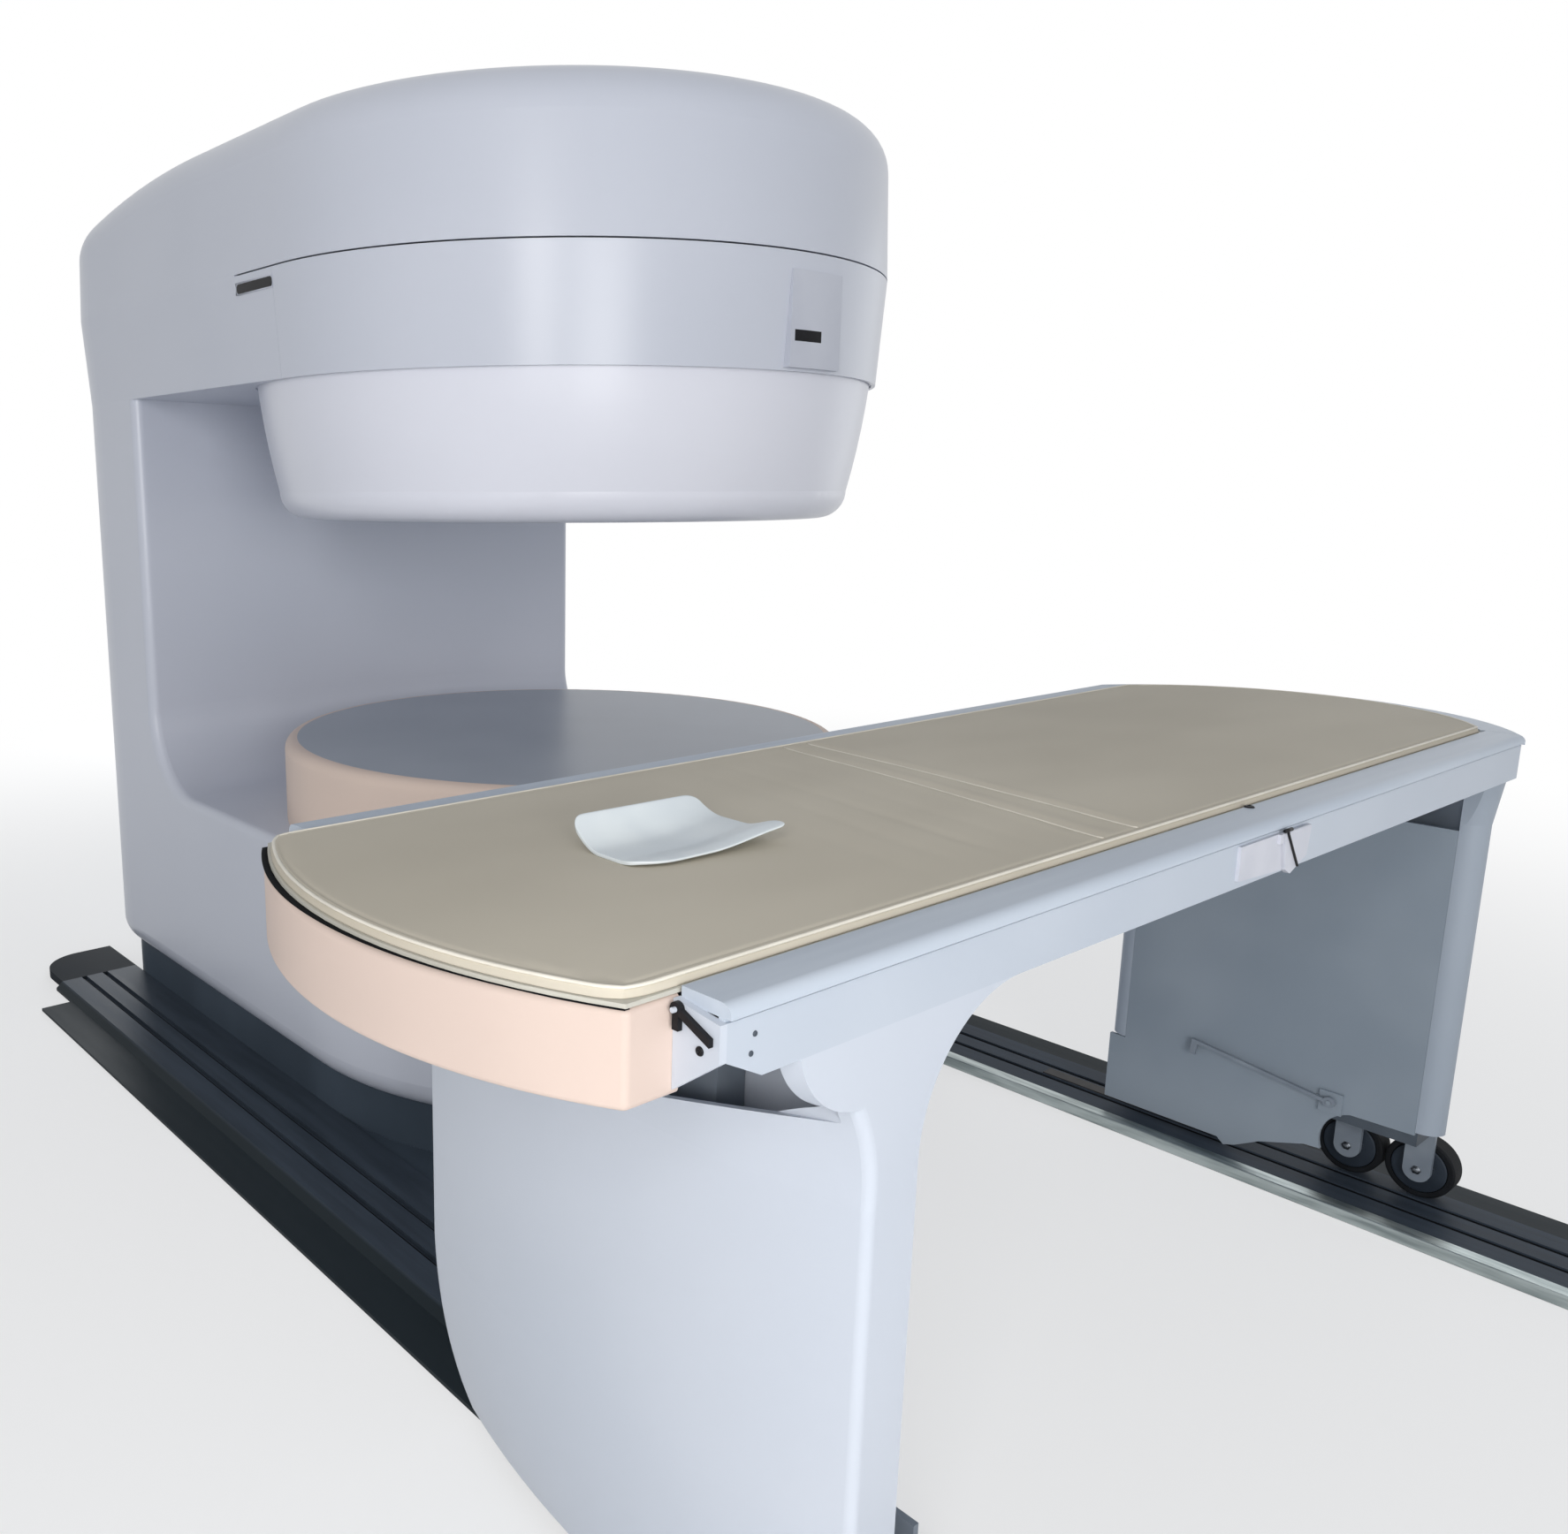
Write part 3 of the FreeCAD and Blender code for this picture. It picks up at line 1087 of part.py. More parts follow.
def wheel(side, end, index, x_sign, y_sign):
    """A plain roller with a tyre-like rounded tread and a recessed hub."""
    half = "wheel_wide / 2"
    nose = "4"
    bore = "axle_radius + axle_play"
    path = [
        (bore, f"-{half}"),
        ("hub_radius * 0.5", f"-{half}"),
        ("hub_radius * 0.5", f"-{half} + 1"),
        ("hub_radius", f"-{half} + hub_deep"),
        ("wheel_radius * 0.78", f"-{half} + hub_deep"),
        ("wheel_radius * 0.82", f"-{half}"),
        (f"wheel_radius - {nose}", f"-{half}", f"wheel_radius - {nose} * 0.29289322",
         f"{nose} * 0.29289322 - {half}"),
        ("wheel_radius", f"{nose} - {half}"),
        ("wheel_radius", half),
        (bore, half),
    ]
    middle = f"(table_y + ({y_sign}) * (wheel_far - {index} * wheel_pitch))"
    roller = turned(f"wheel_{side}_{end}_{index}_body", path, f"({x_sign}) * wheel_x", middle, axle_height(),
                    "90" if x_sign > 0 else "-90", (0, 1, 0))
    return node(roller, f"wheel_{side}_{end}_{index + 1}")


# ---------------------------------------------------------------- patient board
def board_plan(grow):
    """Round left end inside the bumper's arc and round right end, with straight sides."""
    half = f"(board_half + ({grow}))"
    left = f"(bumper_apex + board_inset - ({grow}))"
    left_arc = "board_arc"
    left_x = f"({left} + {left_arc} - sqrt({left_arc} ^ 2 - {half} ^ 2))"
    right = f"(board_right + ({grow}))"
    right_x = f"({right} - 168)"
    return [
        (right_x, f"-{half}", right, "0"),
        (right_x, half),
        (left_x, half, left, "0"),
        (left_x, f"-{half}"),
    ]


def patient_board():
    plate = prism("board_body", "XY_Plane", board_plan("0"), "board_thick", 0, "table_y", "board_z")
    return node(plate, "patient_board")


def board_end_trim():
    """The curved edging of the board's right end, in line with the side rails."""
    chord = "(frame_right + 2)"
    low = "(apron_top + glide)"
    outer = prism("trim_outer", "XY_Plane", segment_plan(chord, "table_half", "end_apex"),
                  f"rail_top - {low}", 0,
                  "table_y", low)
    inner = prism("trim_inner", "XY_Plane", board_plan("0.2"), "2 * (rail_top - apron_top)", 0, "table_y",
                  "apron_top - 1")
    ring = cut("trim_ring", outer, inner)
    near_apex = size("end_apex - 2 * skin")
    is_rim = lambda edge: flat_at(edge, "rail_top") and not straight(edge) and edge.BoundBox.XMax > near_apex
    return node(rounded("trim_smooth", ring, "rail_nose", is_rim), "board_end_trim")


def mattress():
    """A thin pad with a rounded upper edge and one cross channel."""
    block = prism("pad_body", "XY_Plane", board_plan("-pad_back"), "pad_thick", 0, "table_y", "pad_z")
    smooth = rounded("pad_smooth", block, "pad_edge", lambda edge: flat_at(edge, "pad_top"))
    top = "pad_top"
    channel = [
        ("pad_seam_x - pad_seam_wide / 2", f"{top} + 1"),
        ("pad_seam_x - pad_seam_wide / 2", top, "pad_seam_x", f"{top} - pad_seam_deep"),
        ("pad_seam_x + pad_seam_wide / 2", top),
        ("pad_seam_x + pad_seam_wide / 2", f"{top} + 1"),
    ]
    groove = prism("pad_channel", "XZ_Plane", channel, "4 * board_half", 0, "table_y", 0, middle=True)
    return node(cut("pad_shape", smooth, groove), "mattress")


def runner(side, sign):
    """A bar under the board that keeps it in line on the deck."""
    middle = f"(table_y + ({sign}) * runner_y)"
    bar = box(f"runner_{side}_block", ("runner_left", "runner_right"),
              (f"{middle} - runner_wide / 2", f"{middle} + runner_wide / 2"), ("deck_top + glide", "board_z"))
    return node(bar, f"board_runner_{side}")


def headrest():
    """A thin cradle on a flat foot, bent up high on its far side and low on its near side."""
    half = "rest_wide / 2"
    path = [
        ("-rest_foot / 2", "0"),
        ("rest_foot / 2", "0", f"{half} * 0.72", "rest_high * 0.36"),
        (half, "rest_high"),
        (f"{half} - rest_skin", "rest_high + rest_skin * 0.2", f"{half} * 0.66",
         "rest_high * 0.36 + rest_skin * 0.8"),
        ("rest_foot / 2", "rest_skin"),
        ("-rest_foot / 2", "rest_skin", f"-{half} * 0.66", "rest_low * 0.36 + rest_skin"),
        (f"rest_skin * 0.6 - {half}", "rest_low + rest_skin * 0.8"),
        (f"-{half}", "rest_low", f"-{half} * 0.66", "rest_low * 0.36"),
    ]
    cradle = prism("rest_body", "YZ_Plane", path, "rest_long", "-rest_long / 2", 0, 0)
    turned_rest = DOC.addObject("Part::Compound", "rest_turned")
    turned_rest.Links = [cradle]
    place(turned_rest, "rest_x", "table_y + rest_y", "pad_top", "rest_turn")
    return node(turned_rest, "headrest")


# ---------------------------------------------------------------- small moving pieces on the table
def lever_pin_y():
    return "(table_y - apron_half - lever_thick / 2 - 0.5)"


def lock_plate():
    """A plate on the near apron with a slanting end, whose pin carries the release lever."""
    face = "(table_y - apron_half)"
    path = [("plate_left", "lever_low + 6"), ("plate_left", "lever_top"),
            ("plate_right - lever_slant", "lever_top"),
            ("plate_right", "lever_low")]
    plate = prism("lock_plate_body", "XZ_Plane", path, "plate_thick", 0, face)
    lug = box("lock_lug", ("plate_right - lever_slant - 8", "plate_right - lever_slant"),
              (f"{face} - lever_thick - 0.5", face), ("lever_top - 12", "lever_top"))
    pin = cylinder("lock_pin", "pin_radius", "lever_long + lever_slant - 8", "plate_right - lever_slant - 4",
                   lever_pin_y(), "lever_top - lever_thick / 2", "X")
    return node(fuse("lock_plate_shape", plate, lug, pin), "lock_plate")


def release_lever():
    """A flap beside the lock plate, cut to the same slant, hinged along its upper edge."""
    face = "(table_y - apron_half - 0.5)"
    first = "(plate_right + lever_gap)"
    path = [(f"{first} - lever_slant", "lever_top"), ("lever_right", "lever_top"),
            ("lever_right - 6", "lever_low + 10"),
            (f"{first} + 14", "lever_low - 7"), (first, "lever_low")]
    block = prism("lever_body", "XZ_Plane", path, "lever_thick", 0, face)
    back = lambda edge: flat_at(edge, "lever_top") and edge.BoundBox.XLength > 5
    soft = rounded("lever_soft", block, "lever_thick * 0.4", back)
    bore = cylinder("lever_bore", "pin_radius + pin_play", "2 * lever_long", "plate_right - lever_slant",
                    lever_pin_y(),
                    "lever_top - lever_thick / 2", "X")
    return node(cut("lever_shape", soft, bore), "release_lever")


def corner_block():
    """The end plate beside the bumper on the near side, with the pin of the corner latch."""
    path = [
        ("-bumper_half - seat_gap", "apron_z - plate_foot"),
        ("-bumper_half - seat_gap", "apron_top + plate_over"),
        ("-apron_half", "apron_top"),
        ("-apron_half", "apron_z + corner_cut"),
    ]
    plate = prism("corner_body", "YZ_Plane", path, "end_plate", "frame_left - end_plate", "table_y")
    pin = cylinder("corner_pin", "pin_radius * 1.5", "latch_thick + 6",
                   "frame_left - end_plate - latch_thick - 4",
                   "latch_y", "latch_z", "X")
    return node(fuse("corner_block_shape", plate, pin), "corner_block")


def corner_latch():
    """A small black hook on the end plate."""
    eye = cylinder("latch_eye", "latch_wide * 0.62", "latch_thick", 0, 0, 0, "X")
    path = [(0, "latch_wide * 0.35"), ("-latch_long", "latch_wide * 0.35 - latch_drop"),
            ("-latch_long", "-latch_wide * 0.35 - latch_drop"), (0, "-latch_wide * 0.35")]
    arm = prism("latch_arm", "YZ_Plane", path, "latch_thick")
    hook = box("latch_hook", (0, "latch_thick"), ("-latch_wide * 0.35", "latch_wide * 0.35"),
               ("-latch_wide * 1.8", 0))
    whole = fuse("latch_whole", eye, arm, hook)
    bore = cylinder("latch_bore", "pin_radius * 1.5 + pin_play", "3 * latch_thick", "-latch_thick", 0, 0, "X")
    opened = cut("latch_opened", whole, bore)
    set_latch = DOC.addObject("Part::Compound", "latch_set")
    set_latch.Links = [opened]
    place(set_latch, "frame_left - end_plate - latch_thick - 0.5", "latch_y", "latch_z")
    return node(set_latch, "corner_latch")


def brake_pedal():
    """A bar along the inner panel with a hooked far end to step on."""
    thick = "pedal_thick"
    across = (f"-{thick} / 2", f"{thick} / 2")
    eye = cylinder("pedal_eye", "pedal_thick * 1.5", thick, across[0], 0, 0, "X")
    arm = box("pedal_arm", across, (0, "pedal_long"), ("-pedal_thick / 2", "pedal_thick / 2"))
    hook = box("pedal_hook", across, ("pedal_long - 12", "pedal_long"), ("-pedal_thick * 4", 0))
    bore = cylinder("pedal_bore", "pin_radius * 2.5 + pin_play", f"3 * {thick}", f"-1.5 * {thick}", 0, 0, "X")
    opened = cut("pedal_opened", fuse("pedal_whole", eye, arm, hook), bore)
    turned_pedal = DOC.addObject("Part::Compound", "pedal_turned")
    turned_pedal.Links = [opened]
    place(turned_pedal, "pedal_x", "table_y - pedal_pivot_y", "pedal_pivot_z", "pedal_rise", (1, 0, 0))
    return node(turned_pedal, "brake_pedal")


# ---------------------------------------------------------------- the whole
def build():
    fill_sheet()
    main_cover()
    arm_covers()
    crown_cover()
    upper_pole()
    lower_pole()
    yoke()
    magnet_half("lower", "(yoke_low + yoke_arm)", 1)
    magnet_half("upper", "(yoke_high - yoke_arm)", -1)
    plinth()
    panel()
    for side, sign in (("left", -1), ("right", 1)):
        floor_rail(side, sign)
    table_frame()
    round_end()
    bumper()
    for side, sign in (("near", -1), ("far", 1)):
        side_rail(side, sign)
        guide_strip(side, sign)
        runner(side, sign)
    left_leg()
    left_carriage()
    right_leg()
    right_panel()
    right_post()
    for side, x_sign in (("left", -1), ("right", 1)):
        for end, y_sign in (("near", -1), ("far", 1)):
            fork(side, end, x_sign, y_sign)
            for index in (0, 1):
                wheel(side, end, index, x_sign, y_sign)
    patient_board()
    board_end_trim()
    mattress()
    headrest()
    lock_plate()
    release_lever()
    corner_block()
    corner_latch()
    brake_pedal()
    DOC.recompute()


def check():
    """Stop if any object failed or any piece is not a sound solid."""
    for thing in DOC.Objects:
        if "Invalid" in thing.State or "Error" in thing.State:
            raise RuntimeError(f"{thing.Name} ({thing.Label}) failed: {thing.State}")
    for piece in NODES:
        shape = piece.Shape
        if shape.isNull() or not shape.isValid() or not shape.Solids:
            raise RuntimeError(f"{piece.Label} has no sound solid")


def write():
    os.makedirs("parts", exist_ok=True)
    for piece in NODES:
        piece.Shape.exportStep(f"parts/{piece.Label}.step")
        span = piece.Shape.BoundBox
        print(f"{piece.Label:22s} solids {len(piece.Shape.Solids)} volume {piece.Shape.Volume / 1e6:9.3f} l "
              f"x {span.XMin:.0f}..{span.XMax:.0f} y {span.YMin:.0f}..{span.YMax:.0f} "
              f"z {span.ZMin:.0f}..{span.ZMax:.0f}")
    print(len(NODES), "pieces")


build()
check()
write()
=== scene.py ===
import math

import bmesh
import bpy
from mathutils import Matrix, Vector, noise


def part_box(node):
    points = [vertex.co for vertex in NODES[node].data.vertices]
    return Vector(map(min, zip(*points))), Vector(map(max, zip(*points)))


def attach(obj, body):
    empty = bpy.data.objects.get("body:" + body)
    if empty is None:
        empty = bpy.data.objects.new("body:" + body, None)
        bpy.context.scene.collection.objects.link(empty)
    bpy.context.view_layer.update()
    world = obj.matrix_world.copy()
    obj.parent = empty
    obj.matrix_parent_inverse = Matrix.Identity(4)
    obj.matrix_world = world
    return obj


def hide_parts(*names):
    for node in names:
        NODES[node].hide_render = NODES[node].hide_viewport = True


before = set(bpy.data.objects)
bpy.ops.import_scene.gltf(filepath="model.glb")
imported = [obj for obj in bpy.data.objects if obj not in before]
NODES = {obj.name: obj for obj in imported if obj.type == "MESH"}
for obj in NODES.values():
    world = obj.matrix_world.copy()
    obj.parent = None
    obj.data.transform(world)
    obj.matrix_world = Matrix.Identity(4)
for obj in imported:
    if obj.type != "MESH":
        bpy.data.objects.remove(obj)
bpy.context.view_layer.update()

# ------------------------------------------------------------------ sizes (metres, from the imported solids)
TABLE_Y = -1.320  # the table's long axis
RAIL_IN, RAIL_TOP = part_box("floor_rail_right")[0].x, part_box("floor_rail_right")[1].z
RAIL_FRONT, RAIL_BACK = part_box("floor_rail_right")[0].y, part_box("floor_rail_right")[1].y
TRACK_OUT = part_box("rail_end_cap_right")[1].x  # X where the track ends and the lower flange begins
GROOVES, GROOVE_WIDE, GROOVE_FLOOR = (RAIL_IN + 0.0884, RAIL_IN + 0.1464), 0.014, 0.013
PLINTH_FRONT = -0.640  # Y where the bare metal edge of a rail ends
SLOT_IN, SLOT_OUT = RAIL_IN + 0.099, RAIL_IN + 0.132  # the slot plate between the right rail's grooves
SLOT_PLATE_Y, SLOT_INSERT_Y, SLOT_SCREWS_Y = (-1.230, -0.850), (-1.226, -1.070), (-1.214, -1.082)
PAD_LOW, PAD_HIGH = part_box("mattress")
PAD_HALF = PAD_HIGH.y - TABLE_Y
PAD_ARC, PAD_END = 0.620, 0.168  # radius of the left end, and how far the right end bulges
PAD_LEFT_BAND, PAD_RIGHT_BAND = -1.20, 0.55  # the mesh columns outside these follow the round ends
PAD_ROLL = 0.008  # rounding of the upper edge
REST_LOW, REST_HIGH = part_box("headrest")
REST_LONG, REST_THICK, REST_RIM = 0.188, 0.0044, 0.0022
APRON_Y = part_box("table_frame")[0].y
RAIL_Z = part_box("side_rail_near")[1].z
SEAMS = ((-0.410, 0.21), (-0.356, 0.17))  # X of each cross seam near the far edge, and its lean
SEAM_FAR = 0.26
CREASED_FROM, CREASED_PITCH, CREASED_COUNT = -0.84, 0.006, 86  # extra mesh columns where seams and creases lie
CREASES = (  # X on the axis, lean, depth, width
    (-0.560, 0.20, 0.0011, 0.012), (-0.625, 0.19, 0.0016, 0.011), (-0.690, 0.21, 0.0013, 0.013),
    (-0.765, 0.17, 0.0008, 0.014), (-1.130, -0.05, 0.0006, 0.018), (-0.050, 0.22, 0.0008, 0.016),
    (0.220, 0.18, 0.0006, 0.018),
)


# ------------------------------------------------------------------ mesh helpers
def new_object(name, data):
    """An object in the scene for a mesh, camera or lamp."""
    obj = bpy.data.objects.new(name, data)
    bpy.context.scene.collection.objects.link(obj)
    return obj


def piece(name, vertices, faces, body, material, replaces=(), smooth=True):
    """A mesh piece in the row frame that rides on a body."""
    mesh = bpy.data.meshes.new(name)
    mesh.from_pydata([tuple(v) for v in vertices], [], faces)
    mesh.validate()
    obj = new_object(name, mesh)
    finish(obj, body, material, replaces, smooth)
    return obj


def finish(obj, body, material, replaces=(), smooth=True):
    """Material and body of a finished mesh; the parts it replaces are hidden."""
    tidy_normals(obj.data)
    for polygon in obj.data.polygons:
        polygon.use_smooth = smooth
    obj.data.materials.clear()
    obj.data.materials.append(material)
    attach(obj, body)
    if replaces:
        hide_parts(*replaces)


def tidy_normals(mesh):
    """Merge double points and turn all faces outwards."""
    work = bmesh.new()
    work.from_mesh(mesh)
    bmesh.ops.remove_doubles(work, verts=work.verts, dist=1e-5)
    bmesh.ops.recalc_face_normals(work, faces=work.faces)
    work.to_mesh(mesh)
    work.free()


def grid_faces(rows, columns, closed_columns=False, start=0):
    """Quads of a grid of rows by columns vertices."""
    faces = []
    for r in range(rows - 1):
        for c in range(columns if closed_columns else columns - 1):
            b = (c + 1) % columns
            faces.append((start + r * columns + c, start + r * columns + b, start + (r + 1) * columns + b,
                          start + (r + 1) * columns + c))
    return faces


def axes(normal):
    """Two directions square to a normal."""
    normal = Vector(normal).normalized()
    side = normal.cross(Vector((0, 0, 1)) if abs(normal.z) < 0.9 else Vector((1, 0, 0))).normalized()
    return side, normal.cross(side)


def turned(profile, place, normal, steps, vertices, faces):
    """Add a turned solid to a mesh: a profile of (radius, height) pairs along a normal."""
    place, normal = Vector(place), Vector(normal).normalized()
    side, up = axes(normal)
    start = len(vertices)
    for radius, height in profile:
        for i in range(steps):
            turn = math.tau * i / steps
            vertices.append(place + normal * height + (side * math.cos(turn) + up * math.sin(turn)) * radius)
    faces += grid_faces(len(profile), steps, closed_columns=True, start=start)
    faces.append(tuple(range(start, start + steps)))
    faces.append(tuple(range(start + (len(profile) - 1) * steps, start + len(profile) * steps)))


def screws(name, places, normal, radius, body, material):
    """Domed screw heads with a socket, in one mesh."""
    vertices, faces = [], []
    rise = radius * 0.45
    profile = [(radius, -0.0005), (radius, rise * 0.35), (radius * 0.92, rise * 0.72), (radius * 0.72, rise),
               (radius * 0.45, rise), (radius * 0.40, rise * 0.45)]
    for place in places:
        turned(profile, place, normal, 18, vertices, faces)
    piece(name, vertices, faces, body, material)


def tube(name, path, radius, body, material, closed=False, steps=10, flat=1.0):
    """A round bar along a path of points; flat squeezes its section in height."""
    vertices, faces = [], []
    points = [Vector(p) for p in path]
    count = len(points)
    for i, point in enumerate(points):
        ahead = points[(i + 1) % count] if closed or i + 1 < count else point
        behind = points[i - 1] if closed or i else point
        along = (ahead - behind).normalized()
        side = along.cross(Vector((0, 0, 1)))
        side = side.normalized() if side.length > 1e-3 else Vector((1, 0, 0))
        up = side.cross(along)
        for k in range(steps):
            turn = math.tau * k / steps
            vertices.append(point + side * math.cos(turn) * radius + up * math.sin(turn) * radius * flat)
    faces += grid_faces(count, steps, closed_columns=True)
    if closed:
        last = (count - 1) * steps
        faces += [(last + k, last + (k + 1) % steps, (k + 1) % steps, k) for k in range(steps)]
    else:
        faces += [tuple(range(steps)), tuple(range((count - 1) * steps, count * steps))]
    piece(name, vertices, faces, body, material)


def extrusion(name, section, start, end, body, slot, material, smooth=False):
    """A closed section in X and Z pulled along Y."""
    count = len(section)
    vertices = [(x, y, z) for y in (start, end) for x, z in section]
    faces = [(i, (i + 1) % count, (i + 1) % count + count, i + count) for i in range(count)]
    faces += [tuple(range(count)), tuple(range(count, 2 * count))]
    piece(name, vertices, faces, body, material, smooth=smooth)


def bell(offset, width):
    """A bump of height one that fades away on both sides."""
    return math.exp(-(offset / width) ** 2)


def smooth_step(value, low, high):
    """Zero below low, one above high, eased between them."""
    t = min(max((value - low) / (high - low), 0.0), 1.0)
    return t * t * (3 - 2 * t)


# ------------------------------------------------------------------ materials
def node(tree, kind, **values):
    """A new shader node with its settings."""
    made = tree.nodes.new(kind)
    for key, value in values.items():
        setattr(made, key, value)
    return made


def base_material(name, color, roughness, metallic=0.0):
    """A material with its node tree and its Principled shader."""
    made = bpy.data.materials.new(name)
    made.use_nodes = True
    tree = made.node_tree
    shader = tree.nodes["Principled BSDF"]
    shader.inputs["Base Color"].default_value = (*color, 1)
    shader.inputs["Roughness"].default_value = roughness
    shader.inputs["Metallic"].default_value = metallic
    made.diffuse_color = (*color, 1)
    return made, tree, shader


def mottled(name, color, shade, scale=3.0, roughness=(0.38, 0.48), bump=0.02, bump_scale=900, metallic=0.0,
            stretch=(1, 1, 1), beyond=None, specular=0.5):
    """A finish whose colour drifts towards a second shade, with uneven gloss and a fine surface texture.

    stretch draws the pattern out; beyond = (distance, color) gives what lies further out in X another colour.
    The pattern is moved off the origin, where the noise would crumple the relief.
    """
    made, tree, shader = base_material(name, color, roughness[0], metallic)
    shader.inputs["Specular IOR Level"].default_value = specular
    place = node(tree, "ShaderNodeTexCoord")
    drawn = node(tree, "ShaderNodeMapping")
    drawn.inputs["Scale"].default_value = stretch
    drawn.inputs["Location"].default_value = (5.3, 6.1, 4.7)
    tree.links.new(place.outputs["Object"], drawn.inputs["Vector"])
    cloud = node(tree, "ShaderNodeTexNoise")
    cloud.inputs["Scale"].default_value = scale
    cloud.inputs["Detail"].default_value = 2.0
    tree.links.new(drawn.outputs["Vector"], cloud.inputs["Vector"])
    drift = node(tree, "ShaderNodeMapRange", interpolation_type="SMOOTHERSTEP")
    drift.inputs["From Min"].default_value, drift.inputs["From Max"].default_value = 0.18, 0.82
    tree.links.new(cloud.outputs["Fac"], drift.inputs["Value"])
    shades = node(tree, "ShaderNodeMix", data_type="RGBA")
    shades.inputs["A"].default_value, shades.inputs["B"].default_value = (*shade, 1), (*color, 1)
    tree.links.new(drift.outputs["Result"], shades.inputs["Factor"])
    painted = shades.outputs["Result"]
    if beyond:
        split = node(tree, "ShaderNodeSeparateXYZ")
        tree.links.new(place.outputs["Object"], split.inputs["Vector"])
        size = node(tree, "ShaderNodeMath", operation="ABSOLUTE")
        tree.links.new(split.outputs["X"], size.inputs[0])
        mask = node(tree, "ShaderNodeMapRange")
        mask.inputs["From Min"].default_value, mask.inputs["From Max"].default_value = beyond[0], beyond[0] + 0.006
        tree.links.new(size.outputs["Value"], mask.inputs["Value"])
        other = node(tree, "ShaderNodeMix", data_type="RGBA")
        other.inputs["B"].default_value = (*beyond[1], 1)
        tree.links.new(mask.outputs["Result"], other.inputs["Factor"])
        tree.links.new(painted, other.inputs["A"])
        painted = other.outputs["Result"]
    tree.links.new(painted, shader.inputs["Base Color"])
    gloss = node(tree, "ShaderNodeMapRange")
    gloss.inputs["To Min"].default_value, gloss.inputs["To Max"].default_value = roughness
    tree.links.new(cloud.outputs["Fac"], gloss.inputs["Value"])
    tree.links.new(gloss.outputs["Result"], shader.inputs["Roughness"])
    grain = node(tree, "ShaderNodeTexNoise")
    grain.inputs["Scale"].default_value = bump_scale
    grain.inputs["Detail"].default_value = 2.0
    tree.links.new(drawn.outputs["Vector"], grain.inputs["Vector"])
    relief = node(tree, "ShaderNodeBump")
    relief.inputs["Strength"].default_value = bump
    relief.inputs["Distance"].default_value = 0.002
    tree.links.new(grain.outputs["Fac"], relief.inputs["Height"])
    tree.links.new(relief.outputs["Normal"], shader.inputs["Normal"])
    return made


def srgb(red, green, blue):
    """Linear colour of an 8-bit screen colour."""
    return tuple(((v / 255 + 0.055) / 1.055) ** 2.4 if v > 10 else v / 255 / 12.92 for v in (red, green, blue))


GANTRY = mottled("gantry_cover", srgb(204, 208, 219), srgb(195, 200, 212), 1.1, (0.28, 0.32), specular=0.40)
POLE = mottled("pole_cover", srgb(224, 226, 236), srgb(216, 219, 230), 1.2, (0.28, 0.32), specular=0.40)
PEACH = mottled("peach_cover", srgb(236, 214, 199), srgb(224, 205, 193), 2.0, (0.45, 0.56), specular=0.25)
DISC = mottled("disc_top", srgb(176, 182, 191), srgb(162, 169, 179), 2.0, (0.28, 0.36), specular=0.14)
PANEL = mottled("panel_plate", srgb(196, 200, 211), srgb(188, 192, 204), 8.0, (0.42, 0.52), specular=0.3)
WINDOW = mottled("dark_window", srgb(24, 25, 30), srgb(15, 16, 20), 30.0, (0.14, 0.24), specular=0.10)
SLATE = mottled("rail_paint", srgb(64, 73, 84), srgb(52, 60, 70), 6.0, (0.44, 0.60), 0.05, 500,
                stretch=(6, 0.5, 6), beyond=(TRACK_OUT - 0.001, srgb(34, 42, 47)), specular=0.08)
CAP = mottled("rail_cap_paint", srgb(38, 43, 49), srgb(30, 35, 40), 6.0, (0.56, 0.68), 0.05, 500, specular=0.03)
PLINTH = mottled("plinth_paint", srgb(72, 83, 95), srgb(60, 70, 81), 4.0, (0.46, 0.58), 0.05, 500, specular=0.15)
TABLE = mottled("leg_cover", srgb(202, 208, 218), srgb(195, 202, 213), 2.2, (0.34, 0.42), specular=0.30)
# Painted shade: the table frame takes a darker copy of the leg white, for the dimmer light along the frame.
APRON_SHADED = mottled("table_apron", srgb(192, 200, 211), srgb(183, 192, 204), 2.6, (0.36, 0.44), specular=0.28)
# Painted shade: a darker copy of the leg white for the right leg cover, which stands in the shade under the table.
RIGHT_LEG_SHADED = mottled("right_leg_cover", srgb(164, 173, 184), srgb(154, 164, 176), 2.6, (0.38, 0.46), specular=0.25)
RAIL_ALU = mottled("side_rail_finish", srgb(196, 205, 216), srgb(182, 192, 205), 6.0, (0.36, 0.46), 0.02, 700,
                   stretch=(0.3, 5, 5), specular=0.12)
INNER = mottled("inner_panel", srgb(146, 156, 166), srgb(133, 144, 155), 3.5, (0.48, 0.62), 0.04, 400, specular=0.2)
BUMPER = mottled("bumper_skin", srgb(218, 199, 188), srgb(208, 190, 180), 3.0, (0.50, 0.60), 0.05, 1200, specular=0.12)
STEEL = mottled("steel", srgb(120, 125, 131), srgb(98, 103, 109), 20.0, (0.32, 0.50), 0.05, 300, 1.0)
EDGE = mottled("rail_edge_metal", srgb(178, 187, 187), srgb(128, 138, 139), 14.0, (0.30, 0.42), 0.06, 260, 1.0,
               stretch=(6, 0.6, 6))
FORK = mottled("fork_paint", srgb(136, 145, 155), srgb(120, 129, 140), 12.0, (0.40, 0.52), specular=0.25)
# Painted shade: the right post's dark grey stands for the shade under the right leg; the same finish gives the apron
# screws their dark heads.
POST = mottled("post_paint", srgb(84, 92, 101), srgb(70, 78, 87), 10.0, (0.42, 0.56), 0.04, 400, specular=0.2)
RIM = mottled("wheel_rim", srgb(50, 58, 68), srgb(38, 45, 54), 18.0, (0.40, 0.54), 0.05, 300, specular=0.15)
TREAD = mottled("wheel_tread", srgb(26, 29, 33), srgb(18, 20, 23), 30.0, (0.60, 0.80), 0.15, 400, specular=0.15)
